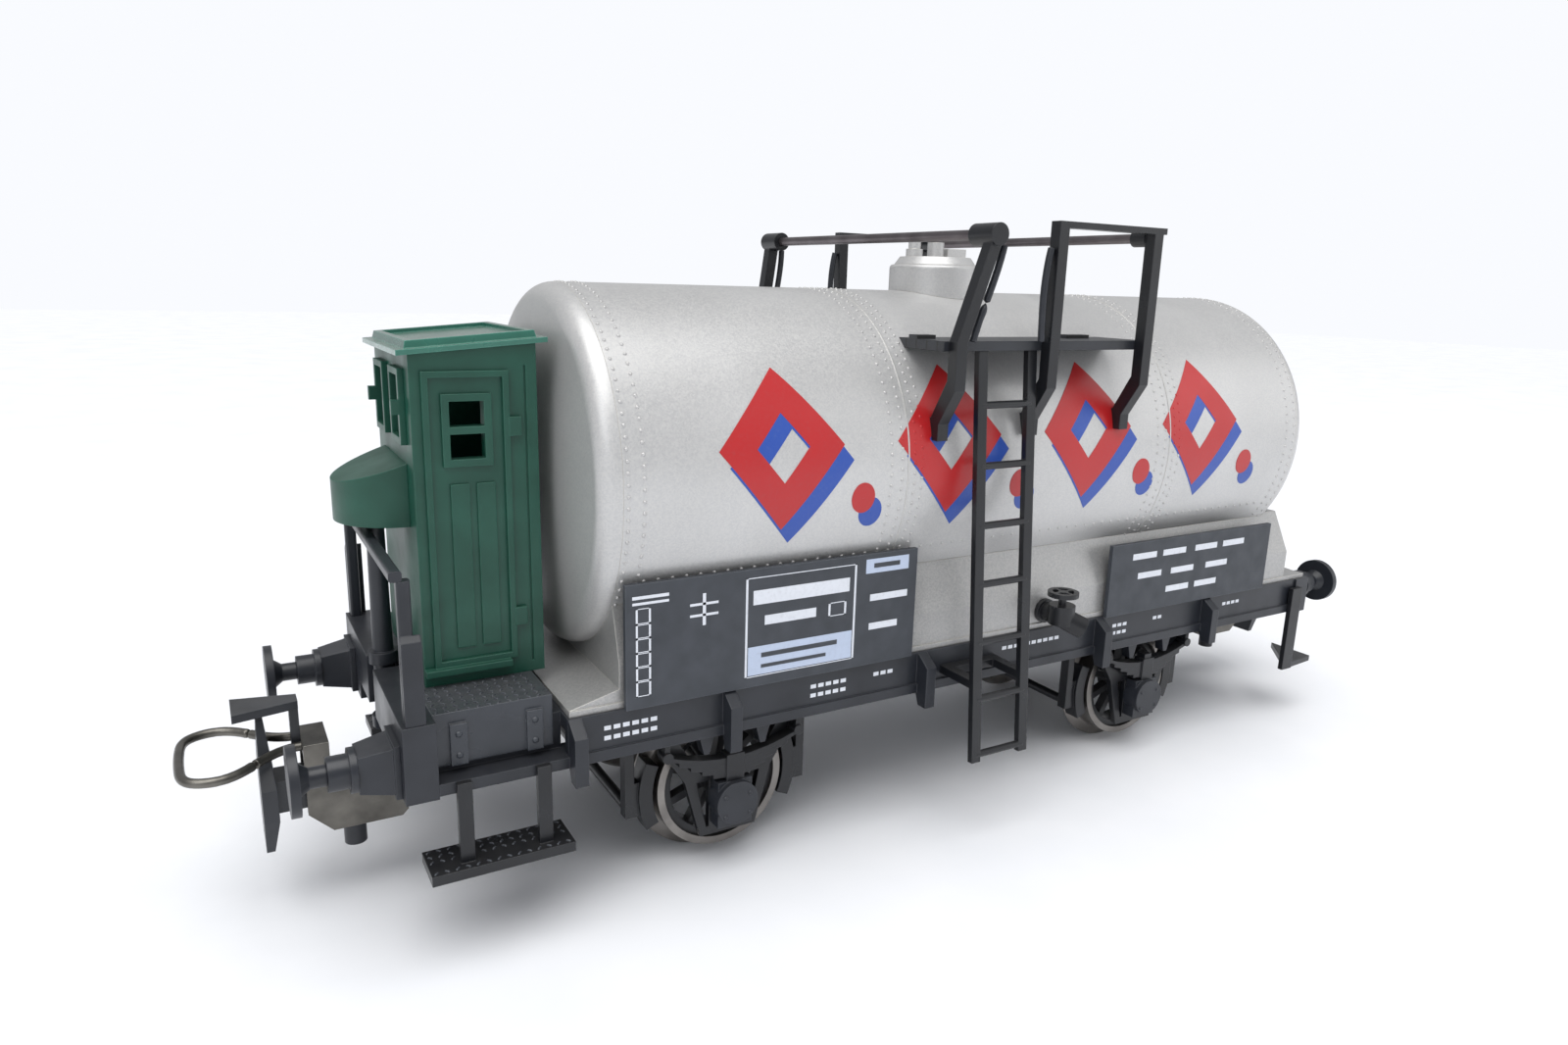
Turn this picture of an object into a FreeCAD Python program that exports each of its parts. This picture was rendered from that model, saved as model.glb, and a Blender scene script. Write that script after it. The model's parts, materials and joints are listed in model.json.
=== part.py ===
import FreeCAD, Part
import math
import os

os.makedirs("parts", exist_ok=True)

# Frame: X along the wagon with the cab at -X, Y across it, Z up from the flange tips.

# ---- running gear ----
WHEELBASE = 46.0
TREAD_R = 5.4
FLANGE_DEPTH = 1.1
FLANGE_R = TREAD_R + FLANGE_DEPTH
AXLE_Z = FLANGE_R
BACK_TO_BACK = 14.3
WHEEL_IN = BACK_TO_BACK / 2
WHEEL_W = 2.8
WHEEL_OUT = WHEEL_IN + WHEEL_W
FLANGE_W = 0.8
TYRE_T = 0.6
CENTRE_R = TREAD_R - TYRE_T
CENTRE_INSET = 0.35
RIM_T = 0.6
HUB_R = 1.35
HUB_PROUD = 0.25
SPOKES = 9
SPOKE_W = 0.62
SPOKE_T = 0.9
AXLE_R = 0.75
JOURNAL_R = 0.5
RUN_GAP = 0.05
GUARD_IN = 10.7
GUARD_T = 0.6
GUARD_OUT = GUARD_IN + GUARD_T
GUARD_TOP = 6.4
GUARD_MID = 3.7
GUARD_FOOT = 2.4
GUARD_BOTTOM = 2.9
GUARD_LIP = 0.7
GUARD_ARCH_TOP = 4.2
GUARD_ARCH = 2.7
GUARD_BRIDGE = 0.8
SLOT_GAP = 0.2
SLOT_TOP = 2.7
SLOT_FOOT = 1.9
SLOT_BOTTOM = 3.6
BOX_R = 1.75
BOX_BODY_LEN = 1.2
BOX_DROP = 0.5
BOX_LEN = 1.7
BOX_HALF = 1.45
BOX_TOP = AXLE_Z + 1.2
BOX_BOTTOM = AXLE_Z - 2.6
JOURNAL_END = GUARD_OUT + 0.7
BORE_END = JOURNAL_END + 0.2

# ---- underframe ----
FRAME_HALF = 44.9
SOLE_OUT = 12.9
WEB_OUT = 12.7
WEB_T = 0.7
FLANGE_IN = 10.4
SOLE_BOTTOM = 11.9
SOLE_LIP = 0.8
WEB_BOTTOM = SOLE_BOTTOM + SOLE_LIP
SOLE_TOP = 15.4
FLOOR_T = 1.0
FLOOR_BOTTOM = SOLE_TOP - FLOOR_T
CAB_BAY_X = -36.2
INNER_WEB = 11.0
INNER_WEB_T = 0.6
SPINE_HALF = 2.6
SPINE_T = 0.8
SPINE_BOTTOM = 12.2
SPINE_END = 40.0
STANCHIONS = (-35.7, -23.8, -5.7, 15.1, 30.2)
STANCHION_W = 0.95
STANCHION_OUT = 14.1
STANCHION_DROP = 1.0
CHECK_DX = 2.4
CHECK_H = 1.6
CHECK_W = 1.3
HANGER_DX = 5.6
POST_R = 0.8
POST_X = 42.4

# ---- headstocks ----
HEAD_T = 2.1
HEAD_FACE = FRAME_HALF + HEAD_T
HEAD_HALF = SOLE_OUT
HEAD_BOTTOM = 11.7
DECK_TOP = 17.0
COUPLER_SLOT_HALF = 6.5
COUPLER_SLOT_TOP = 13.3

# ---- buffers ----
BUFFER_Y = 10.0
BUFFER_Z = 13.6
LENGTH_OVER_BUFFERS = 107.0
BUFFER_FACE = LENGTH_OVER_BUFFERS / 2
BUFFER_R = 2.3
BUFFER_T = 0.6
BUFFER_BOSS_R = 1.15
BUFFER_BOSS_L = 0.6
PLUNGER_R = 0.7
SLEEVE_R = 1.15
SLEEVE_L = 1.3
COLLAR_R = 1.5
COLLAR_L = 0.45
CASE_SMALL = 1.25
CASE_LARGE = 1.6
CASE_L = 2.1
PAD_HALF = 1.85
PAD_T = 0.4

# ---- cab platform and steps ----
DECK_X0 = -FRAME_HALF
DECK_X1 = -36.9
DECK_HALF = 11.5
DECK_T = 0.8
VALANCE_T = DECK_HALF - INNER_WEB
VALANCE_BOTTOM = 13.3
STRAP_X = (-43.3, -38.2)
STRAP_W = 1.1
STRAP_T = 0.3
STRAP_H = 2.9
HANG_X = (-43.4, -38.1)
HANG_W = 0.95
HANG_T = 0.5
BOARD_TOP = 7.0
BOARD_T = 0.7
BOARD_X = (-45.9, -36.3)
BOARD_Y = (10.8, 14.2)
END_STEP_X = (43.8, 45.4)
END_STEP_TOP = 14.6
END_STEP_Z = 5.4
END_STEP_T = 0.6
END_STEP_LAP = 0.5
END_STEP_REACH = 49.4
END_STEP_TAPER = 1.2
END_STEP_IN = 8.2

# ---- end railing and brake column ----
CORNER_X = -46.3
CORNER_Y = 12.0
CORNER_W = 0.85
CORNER_EASE = 0.2
RAIL_Z = 26.5
RAIL_H = 0.7
RAIL_X = -46.75
RAIL_W = 0.8
SHORT_H = 6.0
SHORT_W = 1.25
SHORT_T = 0.4
COLUMN_X = -46.0
COLUMN_R_TOP = 0.62
COLUMN_R_BOTTOM = 0.8
COLUMN_BOTTOM = 12.0
COLLAR_COLUMN_R = 1.05
COLLAR_COLUMN_H = 0.9
NOTCH_HALF = 1.5
NOTCH_DEPTH = 1.9

# ---- cab ----
CAB_X0 = -44.3
CAB_X1 = -35.9
CAB_HALF = 6.6
CAB_WALL = 0.8
CAB_EAVES = 39.9
ROOF_SLOPE = math.tan(math.radians(4.8))
ROOF_OVER_X = 0.75
ROOF_OVER_Y = 0.35
ROOF_T = 0.35
ROOF_RIM_H = 0.5
ROOF_RIM_W = 0.45
ROOF_RIM_BEVEL = 0.12
TRAY_DEPTH = 0.3
ROOF_RIM_IN = 0.6
BAY_R = 4.4
BAY_Z0 = 28.0
BAY_Z1 = 32.4
BAY_RIM_Z = 30.9
DOOR_X0 = -43.6
DOOR_X1 = -37.9
DOOR_Z1 = 38.8
DOOR_T = 0.3
DOOR_FRAME_W = 0.42
SILL_Z = 17.9
SILL_T = 0.45
SILL_OUT = 0.75
WINDOW_X0 = -41.9
WINDOW_X1 = -39.6
WINDOW_ZS = ((32.9, 34.6), (35.1, 36.8))
SUB_FRAME = 0.5
SUB_FRAME_T = 0.28
PANEL_XS = ((-42.0, -40.75), (-40.25, -39.0))
PANEL_Z = (19.6, 31.2)
PANEL_T = 0.16
HINGE_ZS = (21.4, 35.0)
HINGE_X = -37.55
HINGE_W = 0.42
HINGE_H = 1.3
HINGE_T = 0.35
GROOVE_W = 0.15
GROOVE_DX = 0.9
END_WINDOW_Y = 3.1
END_WINDOW_HALF = 1.35
END_WINDOW_Z = (34.2, 38.4)
END_FRAME_W = 0.45
END_FRAME_T = 0.4
KNOB_T = 0.5

# ---- tank, cradle and dome ----
TANK_R = 13.8
TANK_Z = 30.9
TANK_X0 = -32.4
TANK_X1 = 39.6
KNUCKLE_R = 1.6
DISH = 0.85
CRADLE_HALF = 12.3
CRADLE_KNEE = 18.6
CRADLE_TOP = 22.9
CRADLE_TOP_HALF = 11.0
CRADLE_X0 = -32.3
CRADLE_X1 = 43.3
CRADLE_HIP = 3.4
APRON_TOP = 16.8
SHEET_T = 0.45
SHEET_X0 = -36.0
SHEET_X1 = 46.6
SHEET_HALF = 12.45
DOME_X = 3.2
DOME_R = 4.1
DOME_TOP = 47.0
DOME_EDGE = 0.35
LID_R = 4.05
LID_T = 0.7
LID_TAPER = 0.5
KNOB_R = 0.75
KNOB_H = 1.3
VENT_DX = -2.4
VENT_R = 0.75
VENT_CAP_R = 0.55
VENT_H = 1.3
CLAMP_DX = (1.0, 3.6)
CLAMP_W = 1.1
CLAMP_H = 0.8

# ---- boards ----
BOARD_LONG = (-32.1, -7.1)
BOARD_LONG_TOP = 24.6
BOARD_SHORT = (15.6, 38.7)
BOARD_SHORT_TOP = 22.3
BOARD_PLATE_T = 0.45
BOARD_GAP = 0.35

# ---- walkways, posts and ladders ----
WALK_X0 = -7.3
WALK_X1 = 14.7
WALK_TOP = 41.1
WALK_T = 0.75
WALK_OUT = 15.0
WALK_BOTTOM = WALK_TOP - WALK_T
TAB_XS = ((-7.3, -5.5), (8.8, 11.3))
TAB_W = 1.1
TAB_T = 0.3
POST_W = 1.0
POST_Y = WALK_OUT + POST_W
POST_KNEE = 37.4
POST_FOOT_Z = 33.4
POST_STUB = 1.3
STUB_TOP = 35.15
POST_BEND = 0.7
POST_FOOT_Y = 14.3
POST_XS = (-6.3, 3.1, 13.8)
POST_LEAN = 2.7
FAR_LEAN = 1.1
POST_A_TOP = 48.6
BAR_Z = 49.8
BAR_T = 0.5
BAR_OVER = 0.4
BOSS_A_R = 0.85
BOSS_B_R = 0.7
BOSS_A_Z = 49.0
BOSS_B_Z = 49.5
BOSS_OUT = 16.2
BOSS_IN = 13.5
ROD_R = 0.4
ROD_LAP = 0.9
GRAB_R = 0.28
GRAB_BEND = (0.45, 0.75, 0.95)
LADDER_X = -0.7
LADDER_HALF = 2.55
STRINGER_W = 0.9
STRINGER_T = 0.55
LADDER_TOP_Y = 14.6
LADDER_LEAN = 4.6
LADDER_BOTTOM = 6.9
RUNGS = 7
RUNG_R = 0.3
BRACKET_Z = 13.2
BRACKET_H = 0.7

# ---- outlet valves ----
OUTLET_X = 8.2
OUTLET_Z = 17.0
OUTLET_R = 0.85
OUTLET_FLANGE_R = 1.1
OUTLET_FLANGE_T = 0.4
OUTLET_REACH = 14.5
VALVE_R = 1.15
VALVE_H = 1.7
SPOUT_R = 0.95
SPOUT_L = 1.6
STEM_R = 0.35
STEM_H = 0.8
HAND_R = 1.35
HAND_T = 0.42

# ---- springs and brakes ----
LEAVES = 5
LEAF_T = 0.32
LEAF_STEP = 0.95
SPRING_HALF = 5.6
SPRING_W = 1.0
SPRING_Y = 11.35
SPRING_Z = 8.0
CAMBER = 0.035
LEAF_STEPS = 8
BUCKLE_HALF = 0.75
BUCKLE_T = 0.15
BUCKLE_TOP = 9.9
EYE_R = 0.42
PIN_H = 0.45
SHOE_GAP = 0.35
SHOE_T = 1.1
SHOE_ANGLE = 24.0
SHOE_Y = (8.25, 9.85)
BEAM_DX = 7.5
BEAM_R = 0.42
HANGER_W = 0.75
HANGER_INSET = 0.3
HANGER_BACK = 0.6
HANGER_LOW = 1.6
HANGER_HIGH = 1.2
BEAM_DROP = 0.9
CYLINDER_X = (4.6, 11.6)
CYLINDER_Y = 6.4
CYLINDER_Z = 11.0
CYLINDER_R = 2.1
CYLINDER_LUG = 1.2

# ---- couplers ----
SHANK_HALF = 1.3
SHANK_Z = (7.2, 9.6)
EYE_OUT_R = 1.9
HOOK_X = (53.85, 54.85)
HOOK_NECK_Z = 11.0
HOOK_TOP = 14.2
HOOK_BOTTOM = 4.6
HOOK_LOW_HALF = 2.6
HOOK_FOOT_HALF = 1.8
HOOK_NECK_HALF = 1.6
HOOK_TIP_HALF = 0.5
HOOK_TIP_T = 0.45
LEVER_GAP = 0.2
LEVER_T = 0.45
LEVER_BACK = 45.2
LEVER_FRONT = 52.0
LEVER_BOTTOM = 5.3
LEVER_SIDE_TOP = 8.6
LEVER_HEAD = 50.3
LEVER_HEAD_TOP = 12.25
LEVER_NOSE = 1.6
PIVOT_X = 46.3
PIVOT_Z = 7.9
PIVOT_R = 0.4
LOOP_R = 0.33
LOOP_Z = 11.9
LOOP_POINTS = ((52.0, 1.0), (53.3, 1.25), (54.9, 2.55), (57.3, 4.2), (59.0, 3.6), (59.55, 1.6))
ARM_HALF = 0.45
ARM_T = 0.6
PADDLE_X = (52.0, 56.2)
PADDLE_Z = 14.65
PADDLE_T = 0.6
PADDLE_ROOT = 0.7
PADDLE_TIP = 1.6
DROP_PIN_X = 48.8
DROP_PIN_R = 0.8
DROP_PIN_BOTTOM = 3.1

SIDES = (-1, 1)
ENDS = (-1, 1)
ALONG = math.radians(1.0)


def vec(x, y, z):
    return FreeCAD.Vector(x, y, z)


def block(x0, x1, y0, y1, z0, z1):
    """Box between two corners given in any order."""
    low = vec(min(x0, x1), min(y0, y1), min(z0, z1))
    return Part.makeBox(abs(x1 - x0), abs(y1 - y0), abs(z1 - z0), low)


def rod(p, q, r):
    """Round bar of radius r from point p to point q."""
    return Part.makeCylinder(r, (q - p).Length, p, q - p)


def prism_y(points, y0, y1):
    """Outline of (x, z) points drawn out along Y."""
    corners = [vec(x, min(y0, y1), z) for x, z in points]
    face = Part.Face(Part.makePolygon(corners + corners[:1]))
    return face.extrude(vec(0, abs(y1 - y0), 0))


def prism_x(points, x0, x1):
    """Outline of (y, z) points drawn out along X."""
    corners = [vec(min(x0, x1), y, z) for y, z in points]
    face = Part.Face(Part.makePolygon(corners + corners[:1]))
    return face.extrude(vec(abs(x1 - x0), 0, 0))


def prism_z(points, z0, z1):
    """Outline of (x, y) points drawn out along Z."""
    corners = [vec(x, y, z0) for x, y in points]
    face = Part.Face(Part.makePolygon(corners + corners[:1]))
    return face.extrude(vec(0, 0, z1 - z0))


def spin_y(profile, x, z):
    """Solid turned about the line through (x, z) along Y; profile is (r, y) points."""
    corners = [vec(x + r, y, z) for r, y in profile]
    face = Part.Face(Part.makePolygon(corners + corners[:1]))
    return face.revolve(vec(x, 0, z), vec(0, 1, 0), 360)


def fuse(shapes):
    """One solid from touching or crossing solids."""
    if len(shapes) == 1:
        return shapes[0]
    return shapes[0].multiFuse(shapes[1:]).removeSplitter()


def flip_y(shape):
    return shape.mirror(vec(0, 0, 0), vec(0, 1, 0))


def flip_x(shape):
    return shape.mirror(vec(0, 0, 0), vec(1, 0, 0))


def both_sides(shape):
    """A near-side solid and its far-side mirror."""
    return [shape, flip_y(shape)]


def eased(shape, r, direction):
    """Round the long edges that run along direction."""
    edges = []
    for edge in shape.Edges:
        along = edge.tangentAt(edge.FirstParameter).dot(direction)
        if abs(along) > math.cos(ALONG):
            edges.append(edge)
    return shape.makeFillet(r, edges)


def save(node, shapes):
    """Write the solids of one node to its own file."""
    solids = [solid for shape in shapes for solid in shape.Solids]
    Part.makeCompound(solids).exportStep("parts/" + node + ".step")


# ---- underframe pieces ----

def stanchion(x):
    """Bracket that stands out from the near solebar under the boards."""
    outline = [
        (-WEB_OUT, SOLE_TOP),
        (-STANCHION_OUT, SOLE_TOP - STANCHION_DROP),
        (-STANCHION_OUT, SOLE_BOTTOM - STANCHION_DROP),
        (-STANCHION_OUT + STANCHION_DROP, SOLE_BOTTOM - STANCHION_DROP),
        (-WEB_OUT, SOLE_BOTTOM),
    ]
    return prism_x(outline, x - STANCHION_W / 2, x + STANCHION_W / 2)


def check_pad(x, width):
    """Tapered pad under the solebar lip, above a spring."""
    outline = [
        (x - width, SOLE_BOTTOM),
        (x + width, SOLE_BOTTOM),
        (x + width / 3, SOLE_BOTTOM - CHECK_H),
        (x - width / 3, SOLE_BOTTOM - CHECK_H),
    ]
    return prism_y(outline, -SPRING_Y - SPRING_W, -SPRING_Y)


def solebar():
    """Near channel with its lip, stanchions and spring pads."""
    web = block(CAB_BAY_X, FRAME_HALF, -WEB_OUT, -WEB_OUT + WEB_T, WEB_BOTTOM, SOLE_TOP)
    lip = block(-FRAME_HALF, FRAME_HALF, -SOLE_OUT, -FLANGE_IN, SOLE_BOTTOM, WEB_BOTTOM)
    inner = block(-FRAME_HALF, CAB_BAY_X, -INNER_WEB, -INNER_WEB + INNER_WEB_T, WEB_BOTTOM, SOLE_TOP)
    shapes = [web, lip, inner]
    for x in STANCHIONS:
        shapes.append(stanchion(x))
    for axle in ENDS:
        for dx in (-CHECK_DX, CHECK_DX):
            shapes.append(check_pad(axle * WHEELBASE / 2 + dx, CHECK_W / 2))
    return fuse(shapes)


def chassis_frame():
    bar = solebar()
    wide = block(CAB_BAY_X, FRAME_HALF, -WEB_OUT + WEB_T, WEB_OUT - WEB_T, FLOOR_BOTTOM, SOLE_TOP)
    narrow_half = INNER_WEB - INNER_WEB_T
    narrow = block(-FRAME_HALF, CAB_BAY_X, -narrow_half, narrow_half, FLOOR_BOTTOM, SOLE_TOP)
    shapes = [bar, flip_y(bar), wide, narrow]
    for side in SIDES:
        inner = side * (SPINE_HALF - SPINE_T)
        shapes.append(block(-SPINE_END, SPINE_END, inner, side * SPINE_HALF, SPINE_BOTTOM, FLOOR_BOTTOM))
    for end in ENDS:
        post = rod(vec(end * POST_X, 0, SHANK_Z[0]), vec(end * POST_X, 0, FLOOR_BOTTOM), POST_R)
        shapes.append(post)
    return fuse(shapes)


def headstock(end, top):
    beam = block(end * FRAME_HALF, end * HEAD_FACE, -HEAD_HALF, HEAD_HALF, HEAD_BOTTOM, top)
    half = COUPLER_SLOT_HALF
    slot = block(end * FRAME_HALF, end * HEAD_FACE, -half, half, HEAD_BOTTOM, COUPLER_SLOT_TOP)
    return beam.cut(slot)


def headstock_cab():
    beam = headstock(-1, DECK_TOP)
    notch = block(-HEAD_FACE, -HEAD_FACE + NOTCH_DEPTH, -NOTCH_HALF, NOTCH_HALF, HEAD_BOTTOM, DECK_TOP)
    return beam.cut(notch)


def cab_platform():
    """Raised deck with its valances and riveted straps."""
    shapes = [block(DECK_X0, DECK_X1, -DECK_HALF, DECK_HALF, DECK_TOP - DECK_T, DECK_TOP)]
    deck_bottom = DECK_TOP - DECK_T
    for side in SIDES:
        outer = side * DECK_HALF
        shapes.append(block(DECK_X0, DECK_X1, side * INNER_WEB, outer, VALANCE_BOTTOM, deck_bottom))
        for x in STRAP_X:
            strap_top = VALANCE_BOTTOM + STRAP_H
            strap_out = outer + side * STRAP_T
            shapes.append(
                block(x - STRAP_W / 2, x + STRAP_W / 2, outer, strap_out, VALANCE_BOTTOM, strap_top)
            )
    shapes.append(block(DECK_X1 - DECK_T, DECK_X1, -INNER_WEB, INNER_WEB, SOLE_TOP, deck_bottom))
    return fuse(shapes)


def cab_step():
    """Near step board on its two hangers."""
    shapes = [block(BOARD_X[0], BOARD_X[1], -BOARD_Y[1], -BOARD_Y[0], BOARD_TOP - BOARD_T, BOARD_TOP)]
    for x in HANG_X:
        shapes.append(
            block(x - HANG_W / 2, x + HANG_W / 2, -SOLE_OUT - HANG_T, -SOLE_OUT, BOARD_TOP, WEB_BOTTOM)
        )
    return fuse(shapes)


def end_step():
    """Near footstep at the tail corner."""
    front = -SOLE_OUT - END_STEP_LAP
    strap = block(END_STEP_X[0], END_STEP_X[1], front, -SOLE_OUT, END_STEP_Z, END_STEP_TOP)
    outline = [
        (END_STEP_X[0], front),
        (END_STEP_REACH, front + END_STEP_LAP),
        (END_STEP_REACH, -END_STEP_IN),
        (END_STEP_X[1], front + END_STEP_TAPER),
        (END_STEP_X[0], front + END_STEP_LAP),
    ]
    plate = prism_z(outline, END_STEP_Z, END_STEP_Z + END_STEP_T)
    return fuse([strap, plate])


# ---- end railing ----

def corner_post():
    """Near corner post with the short bevelled post moulded against it."""
    half = CORNER_W / 2
    tall = block(CORNER_X - half, CORNER_X + half, -CORNER_Y - half, -CORNER_Y + half, DECK_TOP, RAIL_Z)
    short_y = -CORNER_Y - half
    top = DECK_TOP + SHORT_H
    outer = short_y - SHORT_T
    outline = [(short_y, DECK_TOP), (short_y, top), (outer, top - SHORT_T), (outer, DECK_TOP)]
    short = prism_x(outline, CORNER_X - half, CORNER_X - half + SHORT_W)
    return fuse([eased(tall, CORNER_EASE, vec(0, 0, 1)), short])


def end_rail():
    reach = CORNER_Y + CORNER_W / 2
    bar = block(RAIL_X - RAIL_W / 2, RAIL_X + RAIL_W / 2, -reach, reach, RAIL_Z, RAIL_Z + RAIL_H)
    return eased(bar, CORNER_EASE, vec(0, 1, 0))


def brake_column():
    base = vec(COLUMN_X, 0, COLUMN_BOTTOM)
    shaft = Part.makeCone(COLUMN_R_BOTTOM, COLUMN_R_TOP, BAY_Z0 - COLUMN_BOTTOM, base)
    foot = Part.makeCylinder(COLLAR_COLUMN_R, COLLAR_COLUMN_H, base)
    ring = Part.makeCylinder(COLLAR_COLUMN_R, COLLAR_COLUMN_H, vec(COLUMN_X, 0, DECK_TOP))
    body = fuse([shaft, foot, ring])
    return body.cut(end_rail())


# ---- buffers ----

def buffer_case(end):
    """Near housing of one end: pad, tapered case, collar and sleeve."""
    centre_y = -BUFFER_Y
    x0 = HEAD_FACE + PAD_T
    x1 = x0 + CASE_L
    x2 = x1 + COLLAR_L
    x3 = x2 + SLEEVE_L
    low = BUFFER_Z - PAD_HALF
    pad = block(HEAD_FACE, x0, centre_y - PAD_HALF, centre_y + PAD_HALF, low, BUFFER_Z + PAD_HALF)
    wires = []
    for x, half in ((x0, CASE_LARGE), (x1, CASE_SMALL)):
        corners = []
        for sy, sz in ((-1, -1), (1, -1), (1, 1), (-1, 1)):
            corners.append(vec(x, centre_y + sy * half, BUFFER_Z + sz * half))
        wires.append(Part.makePolygon(corners + corners[:1]))
    case = Part.makeLoft(wires, True, True)
    collar = rod(vec(x1, centre_y, BUFFER_Z), vec(x2, centre_y, BUFFER_Z), COLLAR_R)
    sleeve = rod(vec(x2, centre_y, BUFFER_Z), vec(x3, centre_y, BUFFER_Z), SLEEVE_R)
    body = fuse([pad, case, collar, sleeve])
    return body if end > 0 else flip_x(body)


def buffer_head(end):
    """Near plunger and head of one end."""
    centre_y = -BUFFER_Y
    start = HEAD_FACE + PAD_T + CASE_L + COLLAR_L + SLEEVE_L
    back = BUFFER_FACE - BUFFER_T
    plunger = rod(vec(start, centre_y, BUFFER_Z), vec(back, centre_y, BUFFER_Z), PLUNGER_R)
    boss_x = back - BUFFER_BOSS_L
    boss = Part.makeCone(
        PLUNGER_R, BUFFER_BOSS_R, BUFFER_BOSS_L, vec(boss_x, centre_y, BUFFER_Z), vec(1, 0, 0)
    )
    disc = rod(vec(back, centre_y, BUFFER_Z), vec(BUFFER_FACE, centre_y, BUFFER_Z), BUFFER_R)
    body = fuse([plunger, boss, disc])
    return body if end > 0 else flip_x(body)


# ---- wheelsets and axle gear ----

def axle(x):
    shaft = rod(vec(x, -WHEEL_OUT, AXLE_Z), vec(x, WHEEL_OUT, AXLE_Z), AXLE_R)
    journal = rod(vec(x, -JOURNAL_END, AXLE_Z), vec(x, JOURNAL_END, AXLE_Z), JOURNAL_R)
    return fuse([shaft, journal])


def tyre(x):
    """Near tyre with flange and coned tread."""
    profile = [
        (CENTRE_R, -WHEEL_IN),
        (FLANGE_R - FLANGE_W / 3, -WHEEL_IN),
        (FLANGE_R, -WHEEL_IN - FLANGE_W / 3),
        (FLANGE_R, -WHEEL_IN - FLANGE_W / 2),
        (TREAD_R + FLANGE_W / 8, -WHEEL_IN - FLANGE_W),
        (TREAD_R, -WHEEL_IN - FLANGE_W - FLANGE_W / 8),
        (TREAD_R, -WHEEL_OUT),
        (CENTRE_R, -WHEEL_OUT),
    ]
    return spin_y(profile, x, AXLE_Z)


def wheel_centre(x):
    """Near spoked centre: hub, spokes and rim."""
    y0 = -WHEEL_OUT + CENTRE_INSET
    y1 = -WHEEL_IN - CENTRE_INSET
    rim_in = CENTRE_R - RIM_T
    rim = spin_y([(rim_in, y0), (CENTRE_R, y0), (CENTRE_R, y1), (rim_in, y1)], x, AXLE_Z)
    hub = spin_y([(AXLE_R, y0 - HUB_PROUD), (HUB_R, y0 - HUB_PROUD), (HUB_R, y1), (AXLE_R, y1)], x, AXLE_Z)
    shapes = [rim, hub]
    mid = (y0 + y1) / 2
    spoke_out = rim_in + RIM_T / 2
    spoke_in = (HUB_R + AXLE_R) / 2
    for i in range(SPOKES):
        bar = block(
            x + spoke_in, x + spoke_out, mid - SPOKE_T / 2, mid + SPOKE_T / 2,
            AXLE_Z - SPOKE_W / 2, AXLE_Z + SPOKE_W / 2
        )
        bar.rotate(vec(x, 0, AXLE_Z), vec(0, 1, 0), 360.0 * i / SPOKES)
        shapes.append(bar)
    return fuse(shapes)


def axleguard(x):
    """Near W-iron with its bearing hole."""
    outline = [
        (x - GUARD_TOP, SOLE_BOTTOM), (x - GUARD_MID, BOX_TOP), (x - GUARD_FOOT, GUARD_BOTTOM),
        (x + GUARD_FOOT, GUARD_BOTTOM), (x + GUARD_MID, BOX_TOP), (x + GUARD_TOP, SOLE_BOTTOM)
    ]
    plate = prism_y(outline, -GUARD_OUT, -GUARD_IN)
    arch = [
        (x - GUARD_ARCH_TOP, SOLE_BOTTOM - GUARD_LIP), (x + GUARD_ARCH_TOP, SOLE_BOTTOM - GUARD_LIP),
        (x + GUARD_ARCH, BOX_TOP + GUARD_BRIDGE), (x - GUARD_ARCH, BOX_TOP + GUARD_BRIDGE)
    ]
    plate = plate.cut(prism_y(arch, -GUARD_OUT, -GUARD_IN))
    for side in SIDES:
        slot = [
            (x + side * (BOX_HALF + SLOT_GAP), BOX_TOP - SLOT_GAP), (x + side * SLOT_TOP, BOX_TOP - SLOT_GAP),
            (x + side * SLOT_FOOT, SLOT_BOTTOM), (x + side * (BOX_HALF + SLOT_GAP), SLOT_BOTTOM)
        ]
        plate = plate.cut(prism_y(slot, -GUARD_OUT, -GUARD_IN))
    bore = rod(vec(x, -GUARD_OUT, AXLE_Z), vec(x, -GUARD_IN, AXLE_Z), JOURNAL_R + RUN_GAP)
    return plate.cut(bore)


def axlebox(x):
    """Near axlebox with a blind bearing hole and round front."""
    body = block(x - BOX_HALF, x + BOX_HALF, -GUARD_OUT - BOX_BODY_LEN, -GUARD_OUT, BOX_BOTTOM, BOX_TOP)
    cover = rod(vec(x, -GUARD_OUT, AXLE_Z - BOX_DROP), vec(x, -GUARD_OUT - BOX_LEN, AXLE_Z - BOX_DROP), BOX_R)
    trim = block(x - BOX_R, x + BOX_R, -GUARD_OUT - BOX_LEN, -GUARD_OUT, BOX_TOP, BOX_TOP + BOX_R)
    bore = rod(vec(x, -GUARD_OUT, AXLE_Z), vec(x, -BORE_END, AXLE_Z), JOURNAL_R + RUN_GAP)
    return fuse([body, cover]).cut(trim).cut(bore)


def leaf(x, index):
    """One leaf of a near spring, bent to a parabola."""
    half = SPRING_HALF - index * LEAF_STEP
    z = SPRING_Z + (LEAVES - 1 - index) * LEAF_T
    top = []
    bottom = []
    for i in range(LEAF_STEPS + 1):
        dx = -half + 2 * half * i / LEAF_STEPS
        rise = CAMBER * dx * dx
        top.append((x + dx, z + rise + LEAF_T))
        bottom.append((x + dx, z + rise))
    return prism_y(top + bottom[::-1], -SPRING_Y - SPRING_W, -SPRING_Y)


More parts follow.
